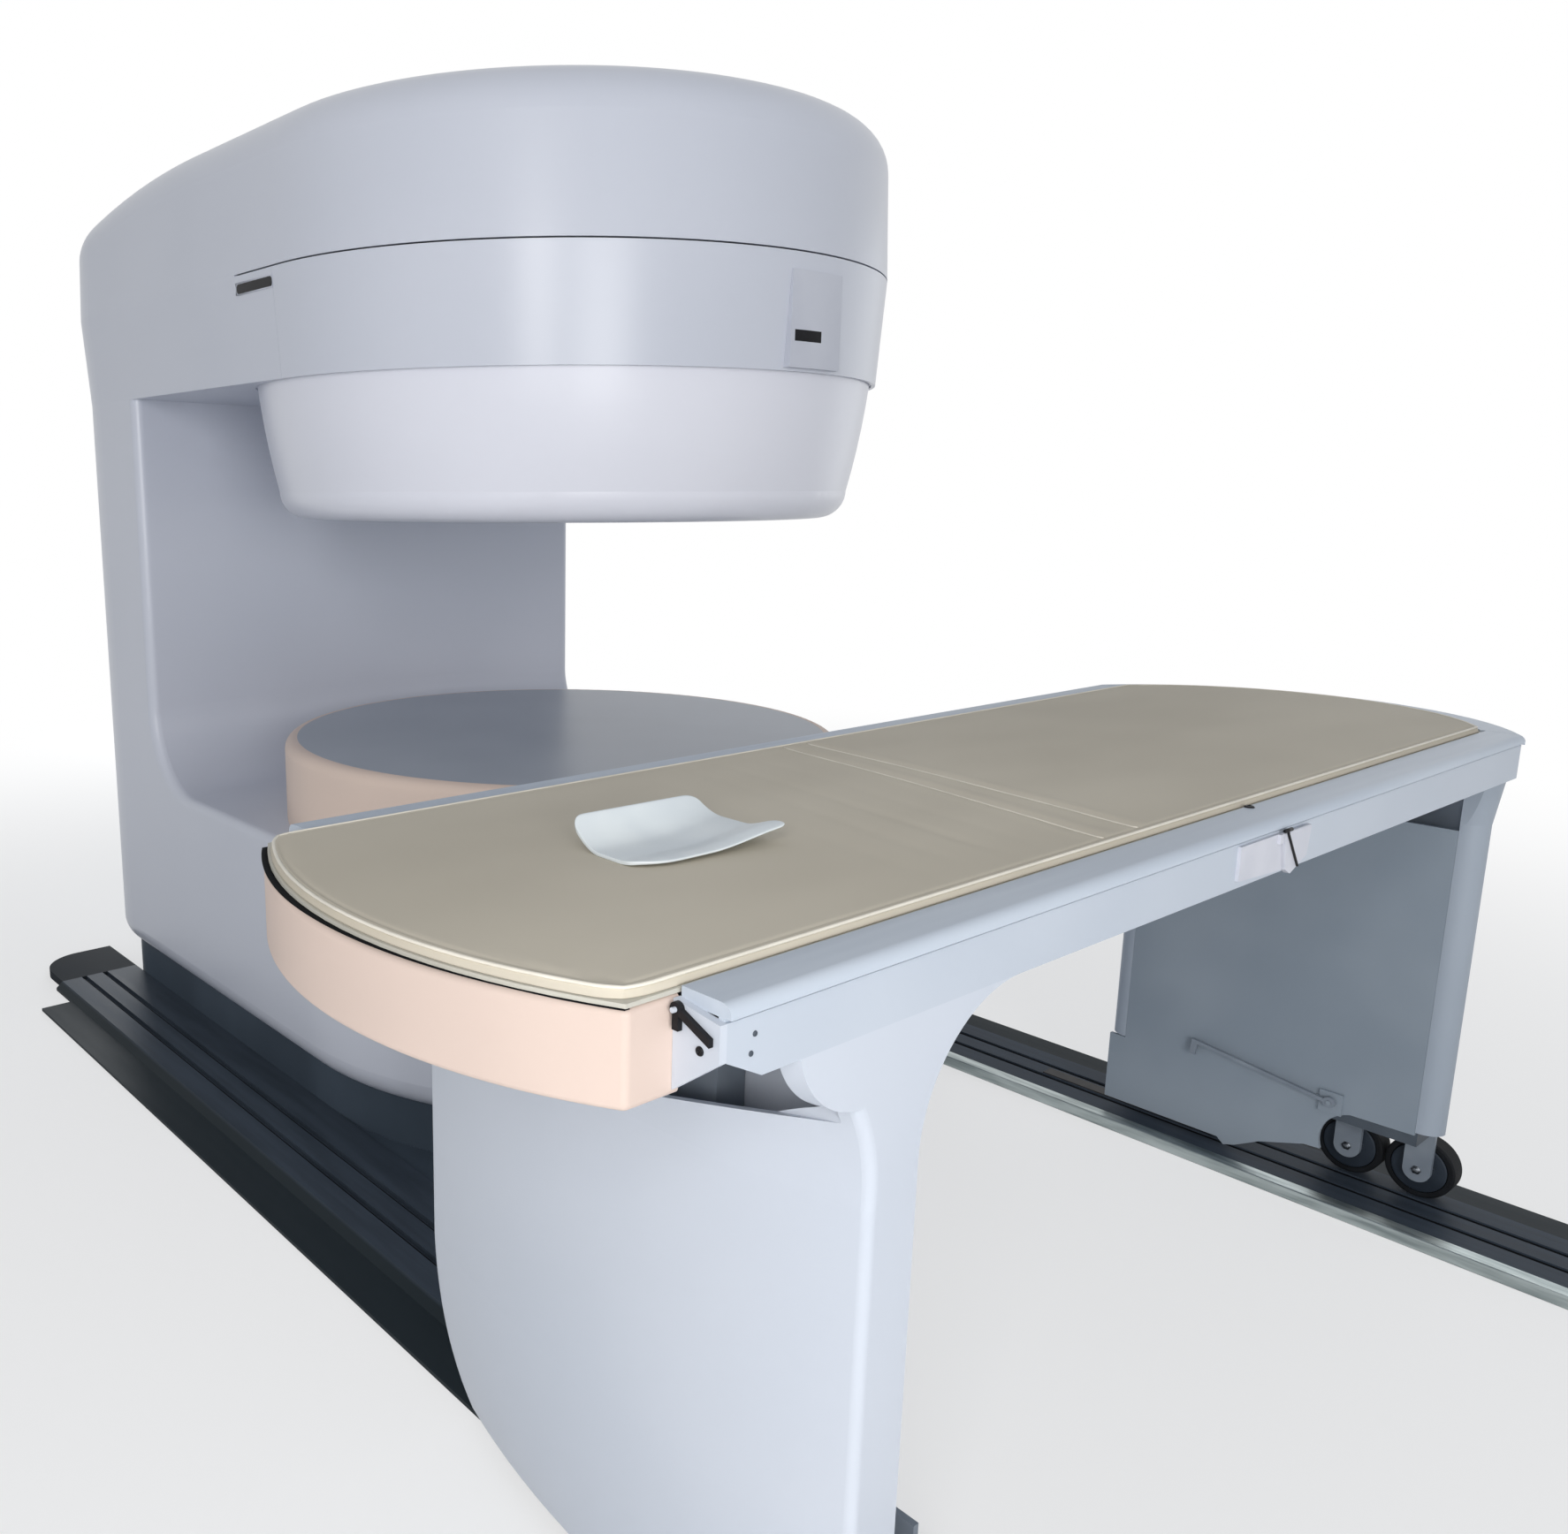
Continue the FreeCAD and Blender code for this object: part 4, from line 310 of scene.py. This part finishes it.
# Black groove rubber; the same black is the painted gap shadow on the bumper at the board's left end.
RUBBER_AND_GAP_SHADOW = mottled("groove_rubber", srgb(18, 20, 23), srgb(12, 14, 16), 30.0, (0.65, 0.85), 0.2, 300, specular=0.05)
STRIP = mottled("glide_strip", srgb(60, 62, 66), srgb(48, 50, 54), 20.0, (0.40, 0.55))
BOARD = mottled("board_skin", srgb(196, 194, 184), srgb(184, 182, 172), 6.0, (0.40, 0.55))
SHELL = mottled("headrest_shell", srgb(222, 229, 232), srgb(212, 220, 225), 14.0, (0.32, 0.42), specular=0.30)
LEVER = mottled("lever_plastic", srgb(206, 208, 217), srgb(196, 199, 209), 20.0, (0.36, 0.46), specular=0.25)
BLACK = mottled("black_plastic", srgb(26, 26, 30), srgb(18, 18, 21), 40.0, (0.38, 0.55), specular=0.20)
IRON = mottled("iron", srgb(90, 92, 96), srgb(74, 76, 80), 4.0, (0.50, 0.70), 0.2, 120)
COIL = mottled("coil_resin", srgb(168, 146, 96), srgb(150, 128, 80), 8.0, (0.32, 0.45))
PAD = mottled("pad_vinyl", srgb(209, 202, 187), srgb(196, 189, 174), 1.7, (0.52, 0.66), 0.10, 800,
              stretch=(1, 2.2, 1), specular=0.04)
# Piping colour: partly the piping's own light tone, partly painted highlight; the seam beads wear it as painted
# highlight.
PIPING_AND_SEAM_HIGHLIGHT = mottled("pad_piping", srgb(234, 229, 217), srgb(222, 217, 205), 20.0, (0.42, 0.55), 0.10, 900, specular=0.12)

FINISH = {
    "main_cover": GANTRY, "front_band": GANTRY, "arm_cover": GANTRY, "crown_cover": GANTRY, "upper_pole_cover": POLE,
    "lower_pole_cover": PEACH, "lower_pole_top": DISC, "control_panel": PANEL, "panel_window": WINDOW,
    "side_window_left": WINDOW, "side_window_right": WINDOW, "plinth": PLINTH, "floor_rail_left": SLATE,
    "floor_rail_right": SLATE, "rail_end_cap_left": CAP, "rail_end_cap_right": CAP, "yoke_lower_arm": IRON,
    "yoke_upper_arm": IRON, "yoke_column": IRON, "lower_magnet": STEEL, "upper_magnet": STEEL,
    "lower_pole_piece": IRON, "upper_pole_piece": IRON, "lower_gradient_coil": COIL, "upper_gradient_coil": COIL,
    "table_frame": APRON_SHADED, "frame_end_cap": APRON_SHADED, "end_bumper": BUMPER, "side_rail_near": RAIL_ALU,
    "side_rail_far": RAIL_ALU, "guide_strip_near": STRIP, "guide_strip_far": STRIP, "left_leg": TABLE,
    "left_carriage": FORK, "right_leg_cover": RIGHT_LEG_SHADED, "right_leg_panel": INNER, "right_post": POST,
    "lock_plate": LEVER, "corner_block": TABLE, "patient_board": BOARD, "board_end_trim": RAIL_ALU,
    "mattress": PAD, "headrest": SHELL, "board_runner_near": STRIP, "board_runner_far": STRIP,
    "release_lever": LEVER, "corner_latch": BLACK, "brake_pedal": FORK,
}


def dress_nodes():
    """Give every carried-over CAD node its finish."""
    for name, obj in NODES.items():
        look = FINISH.get(name) or (TREAD if name.startswith("wheel_") and "fork" not in name else FORK)
        obj.data.materials.clear()
        obj.data.materials.append(look)


# ------------------------------------------------------------------ mattress
def pad_ends(y):
    """Left and right end of the mattress at a distance y from the table's axis."""
    left = PAD_LOW.x + PAD_ARC - math.sqrt(PAD_ARC ** 2 - y ** 2)
    radius = (PAD_HALF ** 2 + PAD_END ** 2) / (2 * PAD_END)
    return left, PAD_HIGH.x - radius + math.sqrt(radius ** 2 - y ** 2)


def pad_border(inset):
    """Closed outline of the mattress in plan, an inset inside its edge."""
    count, points = 40, []
    half = PAD_HALF - inset
    across = [half * math.sin(math.pi / 2 * (2 * i / count - 1)) for i in range(count + 1)]
    points += [(pad_ends(y * PAD_HALF / half)[0] + inset, y) for y in reversed(across)]
    left, right = points[-1][0], pad_ends(PAD_HALF)[1] - inset
    along = [0.002, 0.005, 0.009, 0.015] + [i / 60 for i in range(2, 60)]
    points += [(left + (right - left) * v, -half) for v in along]
    points += [(pad_ends(y * PAD_HALF / half)[1] - inset, y) for y in across]
    points += [(left + (right - left) * v, half) for v in reversed(along)]
    return points


def soften(x, y):
    """Round the two corners at the mattress' left end."""
    sign = 1 if y > 0 else -1
    corner = pad_ends(PAD_HALF)[0]
    reach = math.hypot(x - corner, y - sign * PAD_HALF)
    move = 0.0070 * max(1 - reach / 0.034, 0.0) ** 2
    return x + 0.508 * move, y - sign * 0.861 * move


def steps_from_edge(start, end, fine, pitch):
    """Positions between two edges, close together along both."""
    length = end - start
    middle = max(int((length - 2 * fine[-1]) / pitch), 1)
    inner = [fine[-1] + (length - 2 * fine[-1]) * i / middle for i in range(1, middle)]
    return [start + v for v in fine] + [start + v for v in inner] + [end - v for v in reversed(fine)]


def seam_x(side, y):
    """X of one of the two cross seams; both run slightly askew over the table."""
    place, lean = SEAMS[side]
    return place + lean * (y - SEAM_FAR)


def mattress():
    """A thin foam pad: rolled edge with piping, two cross seams, a soft crown and shallow creases."""
    fine = [0.0, 0.0006, 0.0016, 0.003, 0.0048, 0.007, 0.0085, 0.010, 0.012, 0.014, 0.017, 0.022]
    rows = steps_from_edge(-PAD_HALF, PAD_HALF, fine, 0.016)
    columns = steps_from_edge(PAD_LOW.x, PAD_HIGH.x, fine, 0.024)
    columns = sorted(columns + [CREASED_FROM + CREASED_PITCH * i for i in range(CREASED_COUNT)])
    top, low = PAD_HIGH.z, PAD_LOW.z + 0.0004
    vertices = []
    for y in rows:
        left, right = pad_ends(min(max(y, -PAD_HALF), PAD_HALF))
        for x in columns:
            if x < PAD_LEFT_BAND:
                x = left + (x - PAD_LOW.x) / (PAD_LEFT_BAND - PAD_LOW.x) * (PAD_LEFT_BAND - left)
            elif x > PAD_RIGHT_BAND:
                x = PAD_RIGHT_BAND + (x - PAD_RIGHT_BAND) / (PAD_HIGH.x - PAD_RIGHT_BAND) * (right - PAD_RIGHT_BAND)
            ends = min(x - left, right - x) * 0.93
            edge = max(min(PAD_HALF - abs(y), ends), 0.0)
            height = pad_height(x, y, edge, top, low)
            soft_x, soft_y = soften(x, y)
            vertices.append(Vector((soft_x, TABLE_Y + soft_y, height)))
    count, wide = len(vertices), len(columns)
    faces = grid_faces(len(rows), wide)
    vertices += [Vector((v.x, v.y, low)) for v in vertices]
    faces += [tuple(reversed(f)) for f in grid_faces(len(rows), wide, start=count)]
    rim = (list(range(wide)) + [r * wide + wide - 1 for r in range(1, len(rows))]
           + [(len(rows) - 1) * wide + c for c in range(wide - 2, -1, -1)]
           + [r * wide for r in range(len(rows) - 2, 0, -1)])
    faces += [(a, b, b + count, a + count) for a, b in zip(rim, rim[1:] + rim[:1])]
    pad = piece("mattress_pad", vertices, faces, "sliding board", PAD, replaces=("mattress",))
    # The piping along the edge is lighter than the pad: its own tone with some painted highlight.
    path = [(x, TABLE_Y + y, top - 0.0012) for x, y in (soften(*p) for p in pad_border(0.0032))]
    tube("mattress_piping", path, 0.0021, "sliding board", PIPING_AND_SEAM_HIGHLIGHT, closed=True, flat=0.8)
    # The seam beads take the piping's light colour: painted highlight along the two seams.
    for side in (0, 1):
        path = []
        for i in range(61):
            y = (PAD_HALF - 0.013) * (2 * i / 60 - 1)
            x = seam_x(side, y)
            path.append((x, TABLE_Y + y, pad_height(x, y, PAD_HALF - abs(y), top, low) + 0.0007))
        tube(f"mattress_seam_{side + 1}", path, 0.0014, "sliding board", PIPING_AND_SEAM_HIGHLIGHT, flat=0.7)


def board_seal():
    """A black strip on the bumper round the board's left end, broad on the far side: painted shadow of the gap under
    the board.
    """
    low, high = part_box("patient_board")
    half, level = high.y - TABLE_Y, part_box("end_bumper")[1].z
    vertices, steps = [], 60
    for i in range(steps + 1):
        y = half * (1 - 2 * i / steps)
        inner = low.x + PAD_ARC - math.sqrt(PAD_ARC ** 2 - y ** 2)
        broad = 0.0015 + 0.0062 * smooth_step(y, -0.26, 0.20)
        for out, rise in ((-0.004, -0.0004), (-0.004, 0.0005), (broad - 0.0006, 0.0005), (broad, 0.0001),
                          (broad, -0.0004)):
            vertices.append((inner - out, TABLE_Y + y, level + rise))
    faces = grid_faces(steps + 1, 5, closed_columns=True) + [tuple(range(5)), tuple(range(5 * steps, 5 * steps + 5))]
    piece("board_seal", vertices, faces, "table bridge", RUBBER_AND_GAP_SHADOW)


def pad_height(x, y, edge, top, low):
    """Height of the mattress' upper face, edge being the distance from its outline."""
    roll = 1 - (1 - min(edge / PAD_ROLL, 1)) ** 2.2
    crown = 0.0020 * (1 - (y / PAD_HALF) ** 2) * smooth_step(edge, 0.0, 0.12)
    height = crown - 0.0013 * bell(edge - 0.0105, 0.0022)
    for side in (0, 1):
        off = x - seam_x(side, y)
        height -= 0.0026 * bell(off, 0.0060) * smooth_step(edge, 0.004, 0.02)
        height += 0.0011 * bell(abs(off) - 0.017, 0.010) * smooth_step(edge, 0.004, 0.03)
    for start, lean, deep, wide in CREASES:
        off = x - start - lean * y
        fade = smooth_step(edge, 0.02, 0.12) * (0.65 + 0.35 * noise.noise(Vector((x * 3, y * 6, start * 9))))
        height -= deep * bell(off, wide) * fade
    height += 0.0008 * noise.noise(Vector((x * 4.0, y * 5.0, 0.3))) * smooth_step(edge, 0.01, 0.08)
    rest_x, rest_y = (REST_LOW.x + REST_HIGH.x) / 2, (REST_LOW.y + REST_HIGH.y) / 2 - TABLE_Y
    press = math.exp(-(max(abs(x - rest_x) - 0.085, 0) / 0.02) ** 2 - (max(abs(y - rest_y) - 0.016, 0) / 0.03) ** 2)
    return low + (top + height * (1 - press) - low) * roll


# ------------------------------------------------------------------ headrest
def headrest():
    """A curved shell: far side raised, near side a low wing that opens outwards to the right."""
    columns, rows = 34, 29
    middle = Vector(((REST_LOW.x + REST_HIGH.x) / 2, (REST_LOW.y + REST_HIGH.y) / 2, PAD_HIGH.z))
    top = []
    for r in range(rows):
        v = -1 + 2 * r / (rows - 1)
        for c in range(columns):
            u = c / (columns - 1)
            u = 0.5 - 0.5 * math.cos(math.pi * u)
            top.append(middle + rest_point(u, v, REST_LONG))
    count = rows * columns
    under = []
    for r in range(rows):
        for c in range(columns):
            here = top[r * columns + c]
            a = top[r * columns + min(c + 1, columns - 1)] - top[r * columns + max(c - 1, 0)]
            b = top[min(r + 1, rows - 1) * columns + c] - top[max(r - 1, 0) * columns + c]
            normal = a.cross(b).normalized()
            rim = min(r, rows - 1 - r, c, columns - 1 - c)
            under.append(here - normal * (REST_RIM if rim == 0 else REST_THICK))
    vertices = top + under
    faces = grid_faces(rows, columns) + [tuple(reversed(f)) for f in grid_faces(rows, columns, start=count)]
    rim = (list(range(columns)) + [r * columns + columns - 1 for r in range(1, rows)]
           + [(rows - 1) * columns + c for c in range(columns - 2, -1, -1)]
           + [r * columns for r in range(rows - 2, 0, -1)])
    faces += [(a, b, b + count, a + count) for a, b in zip(rim, rim[1:] + rim[:1])]
    shell = piece("headrest_shell", vertices, faces, "sliding board", SHELL, replaces=("headrest",))
    soft = shell.modifiers.new("smooth", "SUBSURF")
    soft.levels = soft.render_levels = 1


def rest_point(u, v, long):
    """A point of the headrest's upper face from its foot's middle: u along the table, v from near to far side."""
    round_left = 0.10 if v > 0 else 0.26
    left = math.sqrt(max(1 - (1 - min(u / round_left, 1)) ** 2.4, 0.0))
    right = math.sqrt(max(1 - (1 - min((1 - u) / 0.10, 1)) ** 2.4, 0.0))
    v *= (0.72 if v > 0 else 0.45) + (0.28 if v > 0 else 0.55) * left
    v *= 0.82 + 0.18 * right
    side = abs(v)
    bent = max(side - 0.22, 0) / 0.78
    lifted = 0.011 * smooth_step(u, 0.45, 1.0)
    if v > 0:
        y = 0.017 + 0.049 * bent ** 0.85 if side > 0.22 else 0.017 * side / 0.22
        z = lifted * (1 - 0.6 * bent) + (0.031 - 0.4 * lifted) * bent ** 1.5
    else:
        y = -(0.017 + (0.045 + 0.010 * u) * bent) if side > 0.22 else -0.017 * side / 0.22
        z = lifted + (0.004 + 0.006 * u) * smooth_step(bent, 0.0, 0.75) - 0.001 * bent ** 3
    x = (u - 0.5) * long + (0.014 * bent if v < 0 else -0.004 * bent) * u
    turn = math.radians(-2)
    return Vector((x * math.cos(turn) - y * math.sin(turn), x * math.sin(turn) + y * math.cos(turn), z + 0.0048))


# ------------------------------------------------------------------ floor rails
def rail_parts():
    """Rubber in the grooves, a bare metal inner edge, and the slot plate of the right rail."""
    for sign, side in ((-1, "left"), (1, "right")):
        for number, groove in enumerate(GROOVES, 1):
            a, b = groove + 0.0007, groove + GROOVE_WIDE - 0.0007
            section = [(sign * a, GROOVE_FLOOR), (sign * b, GROOVE_FLOOR), (sign * b, GROOVE_FLOOR + 0.004),
                       (sign * (b - 0.003), GROOVE_FLOOR + 0.0055), (sign * (a + 0.003), GROOVE_FLOOR + 0.0055),
                       (sign * a, GROOVE_FLOOR + 0.004)]
            extrusion(f"groove_rubber_{side}_{number}", section, RAIL_FRONT + 0.002, RAIL_BACK - 0.001, "gantry",
                      "black", RUBBER_AND_GAP_SHADOW)
        edge = RAIL_IN - 0.0012
        section = [(sign * edge, 0.001), (sign * edge, RAIL_TOP + 0.0002), (sign * (edge + 0.0016), RAIL_TOP + 0.0016),
                   (sign * (edge + 0.0105), RAIL_TOP + 0.0016), (sign * (edge + 0.0125), RAIL_TOP + 0.0008),
                   (sign * (edge + 0.030), RAIL_TOP + 0.0008), (sign * (edge + 0.032), RAIL_TOP - 0.0004),
                   (sign * (edge + 0.0012), RAIL_TOP - 0.0004), (sign * (edge + 0.0012), 0.001)]
        extrusion(f"rail_edge_{side}", section, RAIL_FRONT - 0.0006, PLINTH_FRONT, "gantry", "table_alu", EDGE)
    low, high, z = SLOT_IN, SLOT_OUT, RAIL_TOP
    section = [(low, z - 0.0004), (low, z + 0.0010), (low + 0.002, z + 0.0016), (high - 0.002, z + 0.0016),
               (high, z + 0.0010), (high, z - 0.0004)]
    extrusion("slot_plate", section, *SLOT_PLATE_Y, "gantry", "rail_slate", BLACK)
    section = [(low + 0.008, z + 0.0014), (low + 0.009, z + 0.0030), (high - 0.009, z + 0.0030),
               (high - 0.008, z + 0.0014)]
    extrusion("slot_insert", section, *SLOT_INSERT_Y, "gantry", "rail_slate", FORK)
    screws("slot_screws", [((low + high) / 2, y, z + 0.0028) for y in SLOT_SCREWS_Y], (0, 0, 1), 0.004, "gantry",
           STEEL)


# ------------------------------------------------------------------ wheels and small parts
# profiles of turned parts, as (radius, height) pairs
BOLT = [(0.0032, -0.001), (0.0032, 0.0018), (0.0026, 0.0024)]
NUT = [(0.0085, -0.0006), (0.0085, 0.0012), (0.0060, 0.0014), (0.0060, 0.0046), (0.0050, 0.0054)]


def rim_profile(radius):
    """Dished plate with a raised hub, for a wheel of this radius."""
    return [(radius * 0.80, 0), (radius * 0.79, 0.0016), (radius * 0.74, 0.0024), (radius * 0.50, 0.0010),
            (radius * 0.34, 0.0012), (radius * 0.30, 0.0036), (radius * 0.22, 0.0042), (0.0004, 0.0042)]


def wheel_parts():
    """Rim plate, bolts and axle cover on both faces of each wheel, and nuts on the forks."""
    for name in (n for n in NODES if n.startswith("wheel_") and "fork" not in n):
        low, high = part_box(name)
        middle = (low + high) / 2
        radius = (high.z - low.z) / 2
        body = name.replace("_", " ")
        vertices, faces = [], []
        for face, x in ((-1, low.x), (1, high.x)):
            at = (x - face * 0.0006, middle.y, middle.z)
            turned(rim_profile(radius), at, (face, 0, 0), 40, vertices, faces)
            for i in range(5):
                turn = math.tau * (i + 0.25) / 5
                bolt = (x + face * 0.0006, middle.y + math.cos(turn) * radius * 0.42,
                        middle.z + math.sin(turn) * radius * 0.42)
                turned(BOLT, bolt, (face, 0, 0), 6, vertices, faces)
        piece(f"{name}_rim", vertices, faces, body, RIM)
    for name in (n for n in NODES if n.startswith("wheel_fork")):
        low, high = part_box(name)
        vertices, faces = [], []
        for wheel in ("1", "2"):
            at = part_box(name.replace("fork_", "") + "_" + wheel)
            for face, x in ((-1, low.x), (1, high.x)):
                axle = (x, (at[0].y + at[1].y) / 2, (at[0].z + at[1].z) / 2)
                turned(NUT, axle, (face, 0, 0), 6 if face < 0 else 12, vertices, faces)
        piece(f"{name}_nuts", vertices, faces, "table bridge", STEEL)


def small_parts():
    """Screws, plugs and dark joints that show on the table and the gantry."""
    screws("apron_screws", [(-1.173, APRON_Y, 0.9085), (-1.177, APRON_Y, 0.8925)], (0, -1, 0), 0.0026,
           "table bridge", POST)
    screws("plate_plug", [(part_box("end_bumper")[1].x - 0.008, -1.6575, 0.897)], (-1, 0, 0), 0.0042, "table bridge",
           BLACK)
    screws("rail_stop", [(-0.220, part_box("side_rail_near")[1].y - 0.004, RAIL_Z - 0.0006)], (0, 0, 1), 0.0062,
           "table bridge", BLACK)
    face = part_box("release_lever")[0].y
    joint = [(-0.2385, face - 0.0012, 0.9262), (-0.2360, face - 0.0012, 0.9200), (-0.2010, face - 0.0012, 0.8745)]
    tube("lever_joint", joint, 0.0016, "release lever", BLACK, steps=8)
    pin = [(-0.2470, face - 0.0010, 0.9258), (-0.2290, face - 0.0010, 0.9258)]
    tube("lever_pin", pin, 0.0024, "table bridge", BLACK, steps=10)
    for sign, side in ((-1, "left"), (1, "right")):
        low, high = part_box(f"side_window_{side}")
        x = low.x if sign < 0 else high.x
        frame_path = [(x, low.y - 0.002, low.z - 0.002), (x, high.y + 0.002, low.z - 0.002),
                      (x, high.y + 0.002, high.z + 0.002), (x, low.y - 0.002, high.z + 0.002)]
        tube(f"window_frame_{side}", frame_path, 0.0012, "gantry", PANEL, closed=True, steps=8)


# ------------------------------------------------------------------ stage
WORLD_LIGHT = 0.40
CAMERA_PLACE = (-1.920, -2.344, 1.335)
CAMERA_HEADING, CAMERA_PITCH, CAMERA_ROLL = -37.709, 90 - 11.634, -0.09  # degrees
CAMERA_LENS, CAMERA_SHIFT = 30.2347, (0.16607, -0.00541)
LAMPS = [  # name, place, target, power, width and height, colour
    ("key", (-3.00, -2.85, 1.85), (-0.30, -0.60, 1.1), 37, (0.6, 1.5), (1.0, 0.98, 0.96)),
    ("front", (-2.6, -5.2, 1.40), (0.0, 0.2, 1.1), 84, (1.6, 1.6), (1.0, 0.99, 0.98)),
    ("right", (4.8, -0.6, 1.6), (0.3, 0.0, 1.0), 12, (2.2, 2.2), (0.94, 0.97, 1.0)),
    ("back", (1.8, 4.9, 0.95), (0.0, 0.8, 0.95), 85, (2.4, 1.3), (0.94, 0.97, 1.0)),
]


def plain_rays(tree):
    """Share of the rays that show the surroundings: camera, glossy and transmission rays."""
    path = node(tree, "ShaderNodeLightPath")
    first = node(tree, "ShaderNodeMath", operation="MAXIMUM")
    tree.links.new(path.outputs["Is Camera Ray"], first.inputs[0])
    tree.links.new(path.outputs["Is Glossy Ray"], first.inputs[1])
    second = node(tree, "ShaderNodeMath", operation="MAXIMUM")
    tree.links.new(first.outputs["Value"], second.inputs[0])
    tree.links.new(path.outputs["Is Transmission Ray"], second.inputs[1])
    return second.outputs["Value"]


def floor_material():
    """Matt pale floor that takes the object's shadow and fades into the white surroundings."""
    made, tree, shader = base_material("floor_paper", (0.84, 0.85, 0.86), 1.0)
    shader.inputs["Specular IOR Level"].default_value = 0.0
    place = node(tree, "ShaderNodeTexCoord")
    far = node(tree, "ShaderNodeVectorMath", operation="LENGTH")
    tree.links.new(place.outputs["Object"], far.inputs[0])
    fade = node(tree, "ShaderNodeMapRange", interpolation_type="SMOOTHSTEP")
    for key, value in (("From Min", 1.6), ("From Max", 5.5), ("To Min", 0.58), ("To Max", 1.0)):
        fade.inputs[key].default_value = value
    tree.links.new(far.outputs["Value"], fade.inputs["Value"])
    share = node(tree, "ShaderNodeMath", operation="MULTIPLY")
    tree.links.new(fade.outputs["Result"], share.inputs[0])
    tree.links.new(plain_rays(tree), share.inputs[1])
    glow = node(tree, "ShaderNodeEmission")
    glow.inputs["Color"].default_value = (1, 1, 1, 1)
    mixed = node(tree, "ShaderNodeMixShader")
    tree.links.new(share.outputs["Value"], mixed.inputs["Fac"])
    tree.links.new(shader.outputs["BSDF"], mixed.inputs[1])
    tree.links.new(glow.outputs["Emission"], mixed.inputs[2])
    tree.links.new(mixed.outputs["Shader"], tree.nodes["Material Output"].inputs["Surface"])
    return made


def surroundings():
    """White where it is seen, a weaker bluish light on the object."""
    world = bpy.data.worlds.new("studio")
    bpy.context.scene.world = world
    world.use_nodes = True
    tree = world.node_tree
    light = tree.nodes["Background"]
    light.inputs["Color"].default_value = (0.93, 0.96, 1.0, 1)
    light.inputs["Strength"].default_value = WORLD_LIGHT
    seen = node(tree, "ShaderNodeBackground")
    seen.inputs["Color"].default_value = (1, 1, 1, 1)
    mixed = node(tree, "ShaderNodeMixShader")
    tree.links.new(plain_rays(tree), mixed.inputs["Fac"])
    tree.links.new(light.outputs["Background"], mixed.inputs[1])
    tree.links.new(seen.outputs["Background"], mixed.inputs[2])
    tree.links.new(mixed.outputs["Shader"], tree.nodes["World Output"].inputs["Surface"])


def stage():
    """Pale floor and white surroundings, soft lamps and the camera at the photograph's view."""
    bpy.ops.mesh.primitive_plane_add(size=120, location=(0, 0, -0.0005))
    floor = bpy.context.object
    floor.name = "floor"
    floor.data.materials.append(floor_material())
    surroundings()
    for name, place, target, power, extent, color in LAMPS:
        lamp(name, place, target, power, extent, color)

    camera_data = bpy.data.cameras.new("camera")
    camera = new_object("camera", camera_data)
    camera_data.sensor_width = 36.0
    camera_data.lens = CAMERA_LENS
    camera_data.shift_x, camera_data.shift_y = CAMERA_SHIFT
    turn = (Matrix.Rotation(math.radians(CAMERA_HEADING), 4, "Z")
            @ Matrix.Rotation(math.radians(CAMERA_PITCH), 4, "X")
            @ Matrix.Rotation(math.radians(CAMERA_ROLL), 4, "Z"))
    camera.matrix_world = Matrix.Translation(CAMERA_PLACE) @ turn
    bpy.context.scene.camera = camera
    bpy.context.scene.view_settings.view_transform = "Standard"


def lamp(name, place, target, power, extent, color):
    """An area lamp that points at a target and isn't seen itself."""
    data = bpy.data.lights.new(name, "AREA")
    data.energy = power
    data.shape = "RECTANGLE"
    data.size, data.size_y = extent
    data.color = color
    obj = new_object(name, data)
    obj.location = place
    obj.rotation_euler = (Vector(target) - Vector(place)).to_track_quat("-Z", "Y").to_euler()
    obj.visible_camera = False


# ------------------------------------------------------------------ build
dress_nodes()
mattress()
board_seal()
headrest()
rail_parts()
wheel_parts()
small_parts()
stage()
